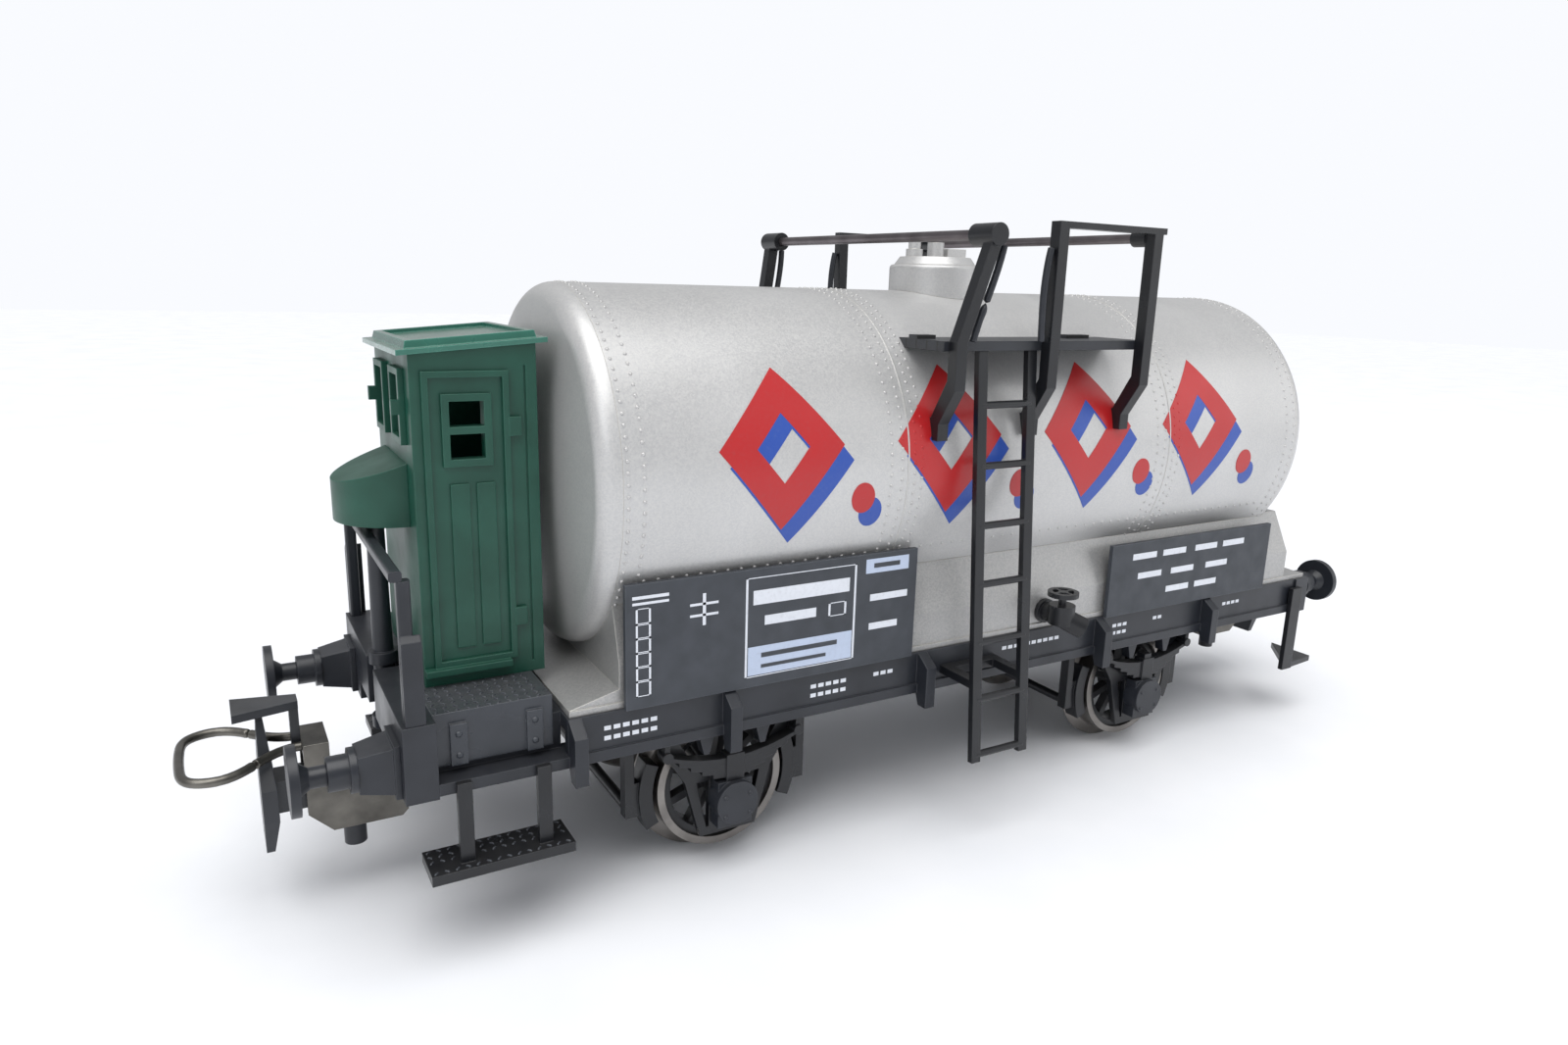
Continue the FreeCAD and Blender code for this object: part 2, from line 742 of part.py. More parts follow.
def leaf_spring(x):
    """Near leaf pack with buckle, eyes and top bolts."""
    shapes = [leaf(x, i) for i in range(LEAVES)]
    y0 = -SPRING_Y - SPRING_W - BUCKLE_T
    shapes.append(block(x - BUCKLE_HALF, x + BUCKLE_HALF, y0, -SPRING_Y, BOX_TOP, BUCKLE_TOP))
    outer = -SPRING_Y - SPRING_W
    shapes.append(block(x - PIN_H, x + PIN_H, outer, -SPRING_Y, BUCKLE_TOP, BUCKLE_TOP + PIN_H))
    eye_z = SPRING_Z + LEAVES * LEAF_T + CAMBER * SPRING_HALF * SPRING_HALF
    for side in SIDES:
        centre = x + side * SPRING_HALF
        shapes.append(rod(vec(centre, y0, eye_z), vec(centre, -SPRING_Y, eye_z), EYE_R))
        shapes.append(block(centre - EYE_R / 2, centre + EYE_R / 2, outer, -SPRING_Y, eye_z, SOLE_BOTTOM))
    return fuse(shapes)


def brake_shoe(x, side):
    """Near brake block and hanger on one side of a wheel."""
    inner = TREAD_R + SHOE_GAP
    outer = inner + SHOE_T
    y0 = -SHOE_Y[1]
    y1 = -SHOE_Y[0]
    ring = spin_y([(inner, y0), (outer, y0), (outer, y1), (inner, y1)], x, AXLE_Z)
    reach = outer * math.tan(math.radians(SHOE_ANGLE))
    wedge = prism_y(
        [(x, AXLE_Z), (x + side * outer, AXLE_Z + reach), (x + side * outer, AXLE_Z - reach)], y0, y1
    )
    pad = ring.common(wedge)
    hanger_y0 = y0 + HANGER_INSET
    hanger_y1 = y1 - HANGER_INSET
    back = x + side * (BEAM_DX + HANGER_W / 2)
    link_x = x + side * (BEAM_DX - HANGER_W / 2 - HANGER_BACK)
    link = block(link_x, back, hanger_y0, hanger_y1, AXLE_Z - HANGER_LOW, AXLE_Z + HANGER_HIGH)
    strip_x = x + side * (BEAM_DX - HANGER_W / 2)
    strip = block(strip_x, back, hanger_y0, hanger_y1, AXLE_Z + HANGER_HIGH, FLOOR_BOTTOM)
    return fuse([pad, link, strip])


def brake_beam(x, side):
    reach = SHOE_Y[0] + HANGER_INSET
    z = AXLE_Z - BEAM_DROP
    centre = x + side * BEAM_DX
    return rod(vec(centre, -reach, z), vec(centre, reach, z), BEAM_R)


def brake_cylinder():
    """Air cylinder slung under the floor with its two lugs."""
    y = -CYLINDER_Y
    shapes = [rod(vec(CYLINDER_X[0], y, CYLINDER_Z), vec(CYLINDER_X[1], y, CYLINDER_Z), CYLINDER_R)]
    cover_at = vec(CYLINDER_X[1], y, CYLINDER_Z)
    shapes.append(Part.makeCone(CYLINDER_R, CYLINDER_R / 2, CYLINDER_LUG, cover_at, vec(1, 0, 0)))
    for x in CYLINDER_X:
        inside = x + CYLINDER_LUG if x == CYLINDER_X[0] else x - CYLINDER_LUG
        shapes.append(block(x, inside, y - CYLINDER_LUG, y + CYLINDER_LUG, CYLINDER_Z, FLOOR_BOTTOM))
    return fuse(shapes)


# ---- cab pieces ----

def eaves_at(x):
    """Height of the cab wall top at x."""
    return CAB_EAVES + (x - CAB_X0) * ROOF_SLOPE


def cab_body():
    """Cab walls and ceiling with the door and end window openings."""
    outline = [(CAB_X0, DECK_TOP), (CAB_X1, DECK_TOP), (CAB_X1, eaves_at(CAB_X1)), (CAB_X0, eaves_at(CAB_X0))]
    shell = prism_y(outline, -CAB_HALF, CAB_HALF)
    top = CAB_EAVES - CAB_WALL
    inner = CAB_HALF - CAB_WALL
    room = block(CAB_X0 + CAB_WALL, CAB_X1 - CAB_WALL, -inner, inner, DECK_TOP, top)
    shell = shell.cut(room)
    for z0, z1 in WINDOW_ZS:
        shell = shell.cut(block(WINDOW_X0, WINDOW_X1, -CAB_HALF, CAB_HALF, z0, z1))
    for side in SIDES:
        y = side * END_WINDOW_Y
        z0, z1 = END_WINDOW_Z
        shell = shell.cut(block(CAB_X0, CAB_X0 + CAB_WALL, y - END_WINDOW_HALF, y + END_WINDOW_HALF, z0, z1))
    groove_x = CAB_X1 - GROOVE_DX
    for side in SIDES:
        outer = side * CAB_HALF
        inside = outer - side * GROOVE_W
        groove = block(groove_x, groove_x + GROOVE_W, inside, outer, DECK_TOP + CAB_WALL, top)
        shell = shell.cut(groove)
    return shell


def slanted(x0, x1, half, low, high):
    """Slab parallel to the roof, from low to high above the eaves line."""
    z0, z1 = eaves_at(x0), eaves_at(x1)
    outline = [(x0, z0 + low), (x1, z1 + low), (x1, z1 + high), (x0, z0 + high)]
    return prism_y(outline, -half, half)


def roof_outline(x0, x1, half, high):
    """Closed rectangle at one height above the eaves line."""
    corners = []
    for x, y in ((x0, -half), (x1, -half), (x1, half), (x0, half)):
        corners.append(vec(x, y, eaves_at(x) + high))
    return Part.makePolygon(corners + corners[:1])


def cab_roof():
    """Thin roof slab with a low bevelled rim round a shallow tray."""
    x0 = CAB_X0 - ROOF_OVER_X
    x1 = CAB_X1 + ROOF_OVER_X
    half = CAB_HALF + ROOF_OVER_Y
    slab = slanted(x0, x1, half, 0, ROOF_T)
    top = ROOF_T + ROOF_RIM_H
    wires = []
    for inset, high in ((ROOF_RIM_IN, ROOF_T), (ROOF_RIM_IN + ROOF_RIM_BEVEL, top)):
        wires.append(roof_outline(x0 + inset, x1 - inset, half - inset, high))
    raised = Part.makeLoft(wires, True, True)
    inset = ROOF_RIM_IN + ROOF_RIM_BEVEL + ROOF_RIM_W
    tray = slanted(x0 + inset, x1 - inset, half - inset, top - TRAY_DEPTH, top)
    return fuse([slab, raised]).cut(tray)


def cab_bay():
    """Half-round housing on the end wall, its top falling away from the wall."""
    drum = Part.makeCylinder(BAY_R, BAY_Z1 - BAY_Z0, vec(CAB_X0, 0, BAY_Z0))
    back = block(CAB_X0, CAB_X0 + BAY_R, -BAY_R, BAY_R, BAY_Z0, BAY_Z1)
    front = CAB_X0 - BAY_R
    above = prism_y([(CAB_X0, BAY_Z1), (front, BAY_RIM_Z), (front, BAY_Z1)], -BAY_R, BAY_R)
    return drum.cut(back).cut(above)


def picture_frame(x0, x1, z0, z1, width, y0, y1):
    outer = block(x0, x1, y0, y1, z0, z1)
    inner = block(x0 + width, x1 - width, y0, y1, z0 + width, z1 - width)
    return outer.cut(inner)


def cab_door():
    """Near door: outer frame, window surround, lower panels, hinges and sill."""
    y = -CAB_HALF
    bottom = SILL_Z + SILL_T
    shapes = [picture_frame(DOOR_X0, DOOR_X1, bottom, DOOR_Z1, DOOR_FRAME_W, y - DOOR_T, y)]
    x0 = WINDOW_X0 - SUB_FRAME
    x1 = WINDOW_X1 + SUB_FRAME
    plate = block(x0, x1, y - SUB_FRAME_T, y, WINDOW_ZS[0][0] - SUB_FRAME, WINDOW_ZS[1][1] + SUB_FRAME)
    for z0, z1 in WINDOW_ZS:
        plate = plate.cut(block(WINDOW_X0, WINDOW_X1, y - SUB_FRAME_T, y, z0, z1))
    shapes.append(plate)
    for px0, px1 in PANEL_XS:
        shapes.append(block(px0, px1, y - PANEL_T, y, PANEL_Z[0], PANEL_Z[1]))
    for z in HINGE_ZS:
        low = z - HINGE_H / 2
        shapes.append(block(HINGE_X - HINGE_W, HINGE_X + HINGE_W, y - HINGE_T, y, low, low + HINGE_H))
    shapes.append(block(CAB_X0, DOOR_X1 - SUB_FRAME, y - SILL_OUT, y, SILL_Z, SILL_Z + SILL_T))
    return shapes[0].multiFuse(shapes[1:])


def end_window_frames():
    """Frames and catches round the two windows of the cab's end wall."""
    shapes = []
    z0, z1 = END_WINDOW_Z
    for side in SIDES:
        y = side * END_WINDOW_Y
        half = END_WINDOW_HALF + END_FRAME_W
        outer = block(CAB_X0 - END_FRAME_T, CAB_X0, y - half, y + half, z0 - END_FRAME_W, z1 + END_FRAME_W)
        hole = block(CAB_X0 - END_FRAME_T, CAB_X0, y - END_WINDOW_HALF, y + END_WINDOW_HALF, z0, z1)
        mid = (z0 + z1) / 2
        catch = block(
            CAB_X0 - END_FRAME_T - KNOB_T, CAB_X0 - END_FRAME_T,
            y + side * END_WINDOW_HALF, y + side * half, mid - KNOB_T, mid + KNOB_T
        )
        shapes.append(fuse([outer.cut(hole), catch]))
    return shapes


# ---- tank, cradle and dome ----

def tank_barrel():
    return rod(vec(TANK_X0, 0, TANK_Z), vec(TANK_X1, 0, TANK_Z), TANK_R)


def tank_end(x, end):
    """Dished end: knuckle round the edge and a shallow dome."""
    knuckle_x = x + end * KNUCKLE_R
    face_r = TANK_R - KNUCKLE_R
    apex = knuckle_x + end * DISH
    s = math.sqrt(0.5)
    corner = vec(x, 0, TANK_Z + TANK_R)
    mid = vec(x + end * KNUCKLE_R * s, 0, TANK_Z + face_r + KNUCKLE_R * s)
    edge = vec(knuckle_x, 0, TANK_Z + face_r)
    arc = Part.Arc(corner, mid, edge).toShape()
    crown_r = (face_r * face_r + DISH * DISH) / (2 * DISH)
    sagitta = crown_r - math.sqrt(crown_r * crown_r - face_r * face_r / 4)
    crown_mid = vec(apex - end * sagitta, 0, TANK_Z + face_r / 2)
    crown = Part.Arc(edge, crown_mid, vec(apex, 0, TANK_Z)).toShape()
    axis_line = Part.makeLine(vec(apex, 0, TANK_Z), vec(x, 0, TANK_Z))
    back = Part.makeLine(vec(x, 0, TANK_Z), corner)
    face = Part.Face(Part.Wire([arc, crown, axis_line, back]))
    return face.revolve(vec(x, 0, TANK_Z), vec(1, 0, 0), 360)


def tank_shape():
    """The whole tank as one solid, used to trim what rests against it."""
    return fuse([tank_barrel(), tank_end(TANK_X0, -1), tank_end(TANK_X1, 1)])


def tank_cradle(tank):
    """Deck sheet and the trough that carries the tank: apron at the cab, hip at the tail."""
    sheet_top = SOLE_TOP + SHEET_T
    sheet = block(SHEET_X0, SHEET_X1, -SHEET_HALF, SHEET_HALF, SOLE_TOP, sheet_top)
    outline = [
        (-CRADLE_HALF, sheet_top), (CRADLE_HALF, sheet_top), (CRADLE_HALF, CRADLE_KNEE),
        (CRADLE_TOP_HALF, CRADLE_TOP), (-CRADLE_TOP_HALF, CRADLE_TOP), (-CRADLE_HALF, CRADLE_KNEE)
    ]
    trough = prism_x(outline, CRADLE_X0, CRADLE_X1)
    rise = CRADLE_TOP - sheet_top
    apron = prism_y(
        [(SHEET_X0, sheet_top), (CRADLE_X0, sheet_top), (CRADLE_X0, APRON_TOP)], -CRADLE_HALF, CRADLE_HALF
    )
    hip_x = CRADLE_X1 - CRADLE_HIP * rise / CRADLE_TOP
    tail_hip = [(CRADLE_X1, CRADLE_KNEE), (hip_x, CRADLE_TOP), (CRADLE_X1, CRADLE_TOP)]
    trough = trough.cut(prism_y(tail_hip, -CRADLE_HALF, CRADLE_HALF))
    return fuse([sheet, apron, trough]).cut(tank)


def tank_dome(tank):
    """Filling dome with a rounded shoulder, sitting on the barrel."""
    column = Part.makeCylinder(DOME_R, DOME_TOP - TANK_Z, vec(DOME_X, 0, TANK_Z))
    rim = [edge for edge in column.Edges if edge.BoundBox.ZMin > DOME_TOP - DOME_EDGE]
    column = column.makeFillet(DOME_EDGE, rim)
    return column.cut(tank)


def dome_lid():
    return Part.makeCone(LID_R - DOME_EDGE, LID_R - DOME_EDGE - LID_TAPER, LID_T, vec(DOME_X, 0, DOME_TOP))


def dome_fittings():
    """Knob, vent and clamp on the lid."""
    top = DOME_TOP + LID_T
    knob = Part.makeCylinder(KNOB_R, KNOB_H, vec(DOME_X, 0, top))
    vent_foot = Part.makeCylinder(VENT_R, VENT_H / 2, vec(DOME_X + VENT_DX, 0, top))
    vent_cap = Part.makeCylinder(VENT_CAP_R, VENT_H, vec(DOME_X + VENT_DX, 0, top))
    x0, x1 = DOME_X + CLAMP_DX[0], DOME_X + CLAMP_DX[1] - LID_TAPER
    clamp = block(x0, x1, -CLAMP_W / 2, CLAMP_W / 2, top, top + CLAMP_H)
    return [knob, fuse([vent_foot, vent_cap]), clamp]


def side_board(span, top):
    """Near label board standing on the solebar, clear of the cradle."""
    outer = -CRADLE_HALF - BOARD_GAP - BOARD_PLATE_T
    bottom = SOLE_TOP
    return block(span[0], span[1], outer, outer + BOARD_PLATE_T, bottom, top)


# ---- walkways, posts, ladders ----

def walkway(tank):
    """Near plank with two lifting tabs, trimmed to the tank."""
    plank = block(WALK_X0, WALK_X1, -WALK_OUT, -TANK_R / 2, WALK_BOTTOM, WALK_TOP)
    shapes = [plank.cut(tank)]
    inner = -WALK_OUT + 4 * TAB_W
    for x0, x1 in TAB_XS:
        shapes.append(block(max(x0, WALK_X0), x1, inner - TAB_W, inner, WALK_TOP, WALK_TOP + TAB_T))
    return fuse(shapes)


def post_leg(x, top, tank):
    """Near post from its foot on the tank up to top."""
    out = -POST_Y
    inner = -WALK_OUT
    outline = [
        (out, top), (out, POST_KNEE), (-POST_FOOT_Y, POST_FOOT_Z + POST_STUB), (-POST_FOOT_Y, POST_FOOT_Z),
        (-TANK_R / 2, POST_FOOT_Z), (-TANK_R / 2, STUB_TOP), (-POST_FOOT_Y + POST_W, STUB_TOP),
        (inner, POST_KNEE + POST_BEND), (inner, top)
    ]
    leg = prism_x(outline, x - POST_W / 2, x + POST_W / 2)
    return leg.cut(tank)


def boss(x, z, r, outer):
    return rod(vec(x, -outer, z), vec(x, -BOSS_IN, z), r)


def post_a(lean, tank):
    """Near first post; the part above the walkway leans by lean."""
    x = POST_XS[0]
    half = POST_W / 2
    foot = post_leg(x, WALK_TOP, tank)
    x0, x1 = x - half, x + half
    outline = [(x0, WALK_TOP), (x1, WALK_TOP), (x1 + lean, POST_A_TOP), (x0 + lean, POST_A_TOP)]
    upper = prism_y(outline, -POST_Y, -WALK_OUT)
    return fuse([foot, upper, boss(x + lean, BOSS_A_Z, BOSS_A_R, BOSS_OUT)])


def post_portal(tank):
    """Near second and third posts joined by the flat top bar."""
    second = post_leg(POST_XS[1], BAR_Z, tank)
    third = post_leg(POST_XS[2], BAR_Z, tank)
    half = POST_W / 2
    bar = block(POST_XS[1] - half, POST_XS[2] + half + BAR_OVER, -POST_Y, -WALK_OUT, BAR_Z, BAR_Z + BAR_T)
    return fuse([second, third, bar, boss(POST_XS[2], BOSS_B_Z, BOSS_B_R, WALK_OUT)])


def cross_rod(near_x, far_x, z):
    """Round rod across the wagon between a near and a far boss."""
    near = vec(near_x, -BOSS_IN - ROD_LAP, z)
    far = vec(far_x, BOSS_IN + ROD_LAP, z)
    return rod(near, far, ROD_R)


def wire(points, r):
    """Round wire bent smoothly through points."""
    path = Part.BSplineCurve()
    path.interpolate(points)
    spine = Part.Wire([path.toShape()])
    start = points[0]
    tangent = path.tangent(path.FirstParameter)[0]
    ring = Part.Wire([Part.makeCircle(r, start, tangent)])
    return spine.makePipeShell([ring], True, True)


def grab_rails(lean):
    """Near grab rails on both sides of the ladder opening."""
    y = -WALK_OUT - POST_W / 2
    a = POST_XS[0] + POST_W / 2 + 3 * GRAB_R
    rise = POST_A_TOP - WALK_TOP
    low, middle, high = [WALK_TOP + rise * share for share in GRAB_BEND]
    first = [
        vec(a, y, WALK_TOP), vec(a + lean * GRAB_BEND[0], y, low), vec(a + lean * GRAB_BEND[1], y, middle),
        vec(a + lean * GRAB_BEND[2] - GRAB_R / 2, y, high)
    ]
    b = POST_XS[1] - POST_W / 2 - 2 * GRAB_R
    second = [vec(b, y, WALK_TOP), vec(b - GRAB_R / 2, y, low), vec(b, y, middle), vec(b + GRAB_R, y, high)]
    return [wire(first, GRAB_R), wire(second, GRAB_R)]


def ladder():
    """Near ladder from the walkway down past the solebar, foot outward."""
    length = (WALK_BOTTOM - LADDER_BOTTOM) / math.cos(math.radians(LADDER_LEAN))
    shapes = []
    pitch = length / RUNGS
    for side in SIDES:
        x = LADDER_X + side * LADDER_HALF
        x0, x1 = x - STRINGER_W / 2, x + STRINGER_W / 2
        shapes.append(block(x0, x1, -STRINGER_T / 2, STRINGER_T / 2, -length, STRINGER_W))
    for i in range(RUNGS):
        z = -length + RUNG_R + STRINGER_T / 2 + i * pitch
        shapes.append(rod(vec(LADDER_X - LADDER_HALF, 0, z), vec(LADDER_X + LADDER_HALF, 0, z), RUNG_R))
    body = fuse(shapes)
    body.rotate(vec(0, 0, 0), vec(1, 0, 0), -LADDER_LEAN)
    body.translate(vec(0, -LADDER_TOP_Y, WALK_BOTTOM))
    wide = 2 * LADDER_HALF
    high = WALK_TOP + POST_W
    above = block(LADDER_X - wide, LADDER_X + wide, -WALK_OUT - POST_W, 0, WALK_BOTTOM, high)
    body = body.cut(above)
    drop = WALK_BOTTOM - BRACKET_Z
    reach = LADDER_TOP_Y + drop * math.tan(math.radians(LADDER_LEAN))
    arms = []
    for side in SIDES:
        x = LADDER_X + side * LADDER_HALF
        arms.append(
            block(x - STRINGER_W / 2, x + STRINGER_W / 2, -reach, -SOLE_OUT, BRACKET_Z, BRACKET_Z + BRACKET_H)
        )
    strap = block(
        LADDER_X - LADDER_HALF - STRINGER_W / 2, LADDER_X + LADDER_HALF + STRINGER_W / 2,
        -SOLE_OUT - BRACKET_H, -WEB_OUT, BRACKET_Z, BRACKET_Z + BRACKET_H
    )
    return fuse([body, strap] + arms)


# ---- outlets ----

def outlet():
    """Near outlet: flanged pipe, valve body and capped spout."""
    wall = -CRADLE_HALF
    pipe = rod(vec(OUTLET_X, wall, OUTLET_Z), vec(OUTLET_X, -OUTLET_REACH, OUTLET_Z), OUTLET_R)
    lip = vec(OUTLET_X, wall - OUTLET_FLANGE_T, OUTLET_Z)
    flange = rod(vec(OUTLET_X, wall, OUTLET_Z), lip, OUTLET_FLANGE_R)
    body = Part.makeCylinder(VALVE_R, VALVE_H, vec(OUTLET_X, -OUTLET_REACH, OUTLET_Z - VALVE_H / 3))
    tip = vec(OUTLET_X + SPOUT_L, -OUTLET_REACH - VALVE_R, OUTLET_Z - SPOUT_R)
    spout = rod(vec(OUTLET_X, -OUTLET_REACH, OUTLET_Z), tip, SPOUT_R)
    stem_base = vec(OUTLET_X, -OUTLET_REACH, OUTLET_Z - VALVE_H / 3 + VALVE_H)
    stem = Part.makeCylinder(STEM_R, STEM_H, stem_base)
    return fuse([pipe, flange, body, spout, stem])


def handwheel():
    """Near handwheel: rim, two crossed bars and hub, on the valve stem."""
    z = OUTLET_Z - VALVE_H / 3 + VALVE_H + STEM_H
    centre = vec(OUTLET_X, -OUTLET_REACH, z)
    rim = Part.makeCylinder(HAND_R, HAND_T, centre)
    rim = rim.cut(Part.makeCylinder(HAND_R - HAND_T, HAND_T, centre))
    hub = Part.makeCylinder(HAND_T, HAND_T, centre)
    shapes = [rim, hub]
    for dx, dy in ((HAND_R - HAND_T / 2, HAND_T / 3), (HAND_T / 3, HAND_R - HAND_T / 2)):
        shapes.append(
            block(OUTLET_X - dx, OUTLET_X + dx, -OUTLET_REACH - dy, -OUTLET_REACH + dy, z, z + HAND_T)
        )
    return fuse(shapes)


# ---- coupler pieces, drawn at the tail end ----

def coupler_hook():
    """Shank with its pivot eye and the pointed hook plate."""
    z0, z1 = SHANK_Z
    shank = block(POST_X, HOOK_X[0], -SHANK_HALF, SHANK_HALF, z0, z1)
    eye = Part.makeCylinder(EYE_OUT_R, z1 - z0, vec(POST_X, 0, z0))
    low = [
        (-HOOK_FOOT_HALF, HOOK_BOTTOM), (HOOK_FOOT_HALF, HOOK_BOTTOM), (HOOK_LOW_HALF, SHANK_Z[0]),
        (HOOK_LOW_HALF, SHANK_Z[1]), (HOOK_NECK_HALF, HOOK_NECK_Z), (HOOK_TIP_HALF, HOOK_TOP),
        (-HOOK_TIP_HALF, HOOK_TOP), (-HOOK_NECK_HALF, HOOK_NECK_Z), (-HOOK_LOW_HALF, SHANK_Z[1]),
        (-HOOK_LOW_HALF, SHANK_Z[0])
    ]
    plate = prism_x(low, HOOK_X[0], HOOK_X[1])
    side = prism_y(
        [
            (HOOK_X[0] + HOOK_TIP_T, HOOK_BOTTOM), (HOOK_X[1], HOOK_BOTTOM), (HOOK_X[1], HOOK_NECK_Z),
            (HOOK_X[0] + 2 * HOOK_TIP_T, HOOK_TOP), (HOOK_X[0] + HOOK_TIP_T, HOOK_TOP),
            (HOOK_X[0], SHANK_Z[1]), (HOOK_X[0], SHANK_Z[0])
        ],
        -HOOK_LOW_HALF, HOOK_LOW_HALF
    )
    post_hole = Part.makeCylinder(POST_R + RUN_GAP, z1 - z0, vec(POST_X, 0, z0))
    pin_hole = rod(vec(PIVOT_X, -SHANK_HALF, PIVOT_Z), vec(PIVOT_X, SHANK_HALF, PIVOT_Z), PIVOT_R)
    return fuse([shank, eye, plate.common(side)]).cut(post_hole).cut(pin_hole)


def coupler_lever():
    """Metal trough astride the shank, with the raised head that carries the loop."""
    inner = SHANK_HALF + LEVER_GAP
    outer = inner + LEVER_T
    outline = [
        (LEVER_BACK, LEVER_BOTTOM + LEVER_T), (LEVER_BACK + LEVER_T, LEVER_BOTTOM),
        (LEVER_FRONT - LEVER_NOSE, LEVER_BOTTOM), (LEVER_FRONT, LEVER_BOTTOM + LEVER_NOSE),
        (LEVER_FRONT, LEVER_HEAD_TOP), (LEVER_HEAD, LEVER_HEAD_TOP), (LEVER_HEAD, LEVER_SIDE_TOP),
        (LEVER_BACK, LEVER_SIDE_TOP)
    ]
    sides = prism_y(outline, -outer, outer)
    hollow_top = LEVER_HEAD_TOP - LEVER_T
    floor = LEVER_BOTTOM + LEVER_T
    hollow = block(LEVER_BACK - LEVER_T, LEVER_FRONT + LEVER_T, -inner, inner, floor, hollow_top)
    body = sides.cut(hollow)
    front = block(LEVER_FRONT - LEVER_T, LEVER_FRONT, -inner, inner, LOOP_Z - LEVER_T, hollow_top)
    hole = rod(vec(PIVOT_X, -outer, PIVOT_Z), vec(PIVOT_X, outer, PIVOT_Z), PIVOT_R + RUN_GAP)
    return fuse([body, front]).cut(hole)


def coupler_pin():
    reach = SHANK_HALF + LEVER_GAP + LEVER_T
    return rod(vec(PIVOT_X, -reach, PIVOT_Z), vec(PIVOT_X, reach, PIVOT_Z), PIVOT_R)


def coupler_loop():
    """Closed wire bail that drops over the other wagon's hook."""
    near = [vec(x, -y, LOOP_Z) for x, y in LOOP_POINTS]
    far = [vec(x, y, LOOP_Z) for x, y in LOOP_POINTS[::-1]]
    return wire(near + far, LOOP_R)


def coupler_trip():
    """Lifting paddle on its arm, and the drop pin below the lever."""
    arm = block(LEVER_FRONT, LEVER_FRONT + ARM_T, -ARM_HALF, ARM_HALF, LOOP_Z - LEVER_T, PADDLE_Z + PADDLE_T)
    x0, x1 = PADDLE_X
    outline = [(x0, -PADDLE_ROOT), (x1, -PADDLE_TIP), (x1, PADDLE_TIP), (x0, PADDLE_ROOT)]
    paddle = prism_z(outline, PADDLE_Z, PADDLE_Z + PADDLE_T)
    pin = rod(vec(DROP_PIN_X, 0, DROP_PIN_BOTTOM), vec(DROP_PIN_X, 0, LEVER_BOTTOM), DROP_PIN_R)
    return [fuse([arm, paddle]), pin]


def write_wagon():
    tank = tank_shape()
    rods = [
        cross_rod(POST_XS[0] + POST_LEAN, POST_XS[0] + FAR_LEAN, BOSS_A_Z),
        cross_rod(POST_XS[2], POST_XS[2], BOSS_B_Z),
    ]
    save("chassis_frame", [chassis_frame()])
    save("headstock_cab", [headstock_cab()])
    save("headstock_tail", [headstock(1, SOLE_TOP)])
    save("cab_platform", [cab_platform()])
    save("cab_step_near", [cab_step()])
    save("cab_step_far", [flip_y(cab_step())])
    save("end_steps", both_sides(end_step()))
    save("corner_posts", both_sides(corner_post()))
    save("end_rail", [end_rail()])
    save("brake_column", [brake_column()])
    save("cab_body", [cab_body()])
    save("cab_roof", [cab_roof()])
    save("cab_bay", [cab_bay()])
    save("cab_doors", both_sides(cab_door()))
    save("end_window_frames", end_window_frames())
    save("tank_barrel", [tank_barrel()])
    save("tank_end_cab", [tank_end(TANK_X0, -1)])
    save("tank_end_tail", [tank_end(TANK_X1, 1)])
    save("tank_cradle", [tank_cradle(tank)])
    save("tank_dome", [tank_dome(tank)])
    save("dome_lid", [dome_lid()])
    save("dome_fittings", dome_fittings())
    boards = [side_board(BOARD_LONG, BOARD_LONG_TOP), side_board(BOARD_SHORT, BOARD_SHORT_TOP)]
    save("boards_near", boards)
    save("boards_far", [flip_y(board) for board in boards])
    save("walkways", both_sides(walkway(tank)))
    near_posts = [post_a(POST_LEAN, tank), post_portal(tank)]
    far_posts = [flip_y(post_a(FAR_LEAN, tank)), flip_y(post_portal(tank))]
    cutter = Part.makeCompound(rods)
    save("posts_near", [post.cut(cutter) for post in near_posts])
    save("posts_far", [post.cut(cutter) for post in far_posts])
    save("grab_rails", grab_rails(POST_LEAN) + [flip_y(rail) for rail in grab_rails(FAR_LEAN)])
    save("cross_rods", rods)
    save("ladder_near", [ladder()])
    save("ladder_far", [flip_y(ladder())])
    save("outlet_valves", both_sides(outlet()))
    save("handwheels", both_sides(handwheel()))
    springs = []
    for end, name in ((-1, "cab"), (1, "tail")):
        x = end * WHEELBASE / 2
        save("axle_" + name, [axle(x)])
        save("tyres_" + name, both_sides(tyre(x)))
        save("wheel_centres_" + name, both_sides(wheel_centre(x)))
        save("axleguards_" + name, both_sides(axleguard(x)))
        save("axleboxes_" + name, both_sides(axlebox(x)))
        springs += both_sides(leaf_spring(x))
        save("buffer_cases_" + name, both_sides(buffer_case(end)))
        save("buffer_heads_" + name, both_sides(buffer_head(end)))
    save("leaf_springs", springs)
    shoes = []
    for end in ENDS:
        for side in SIDES:
            x = end * WHEELBASE / 2
            shoes += both_sides(brake_shoe(x, side))
            shoes.append(brake_beam(x, side))
    save("brake_gear", shoes)
    save("brake_cylinder", [brake_cylinder()])
    coupler = {
        "hook": [coupler_hook()],
        "lever": [coupler_lever()],
        "pin": [coupler_pin()],
        "loop": [coupler_loop()],
        "trip": coupler_trip(),
    }
    for piece, shapes in coupler.items():
        save("coupler_" + piece + "_tail", shapes)
        save("coupler_" + piece + "_cab", [flip_x(shape) for shape in shapes])


write_wagon()
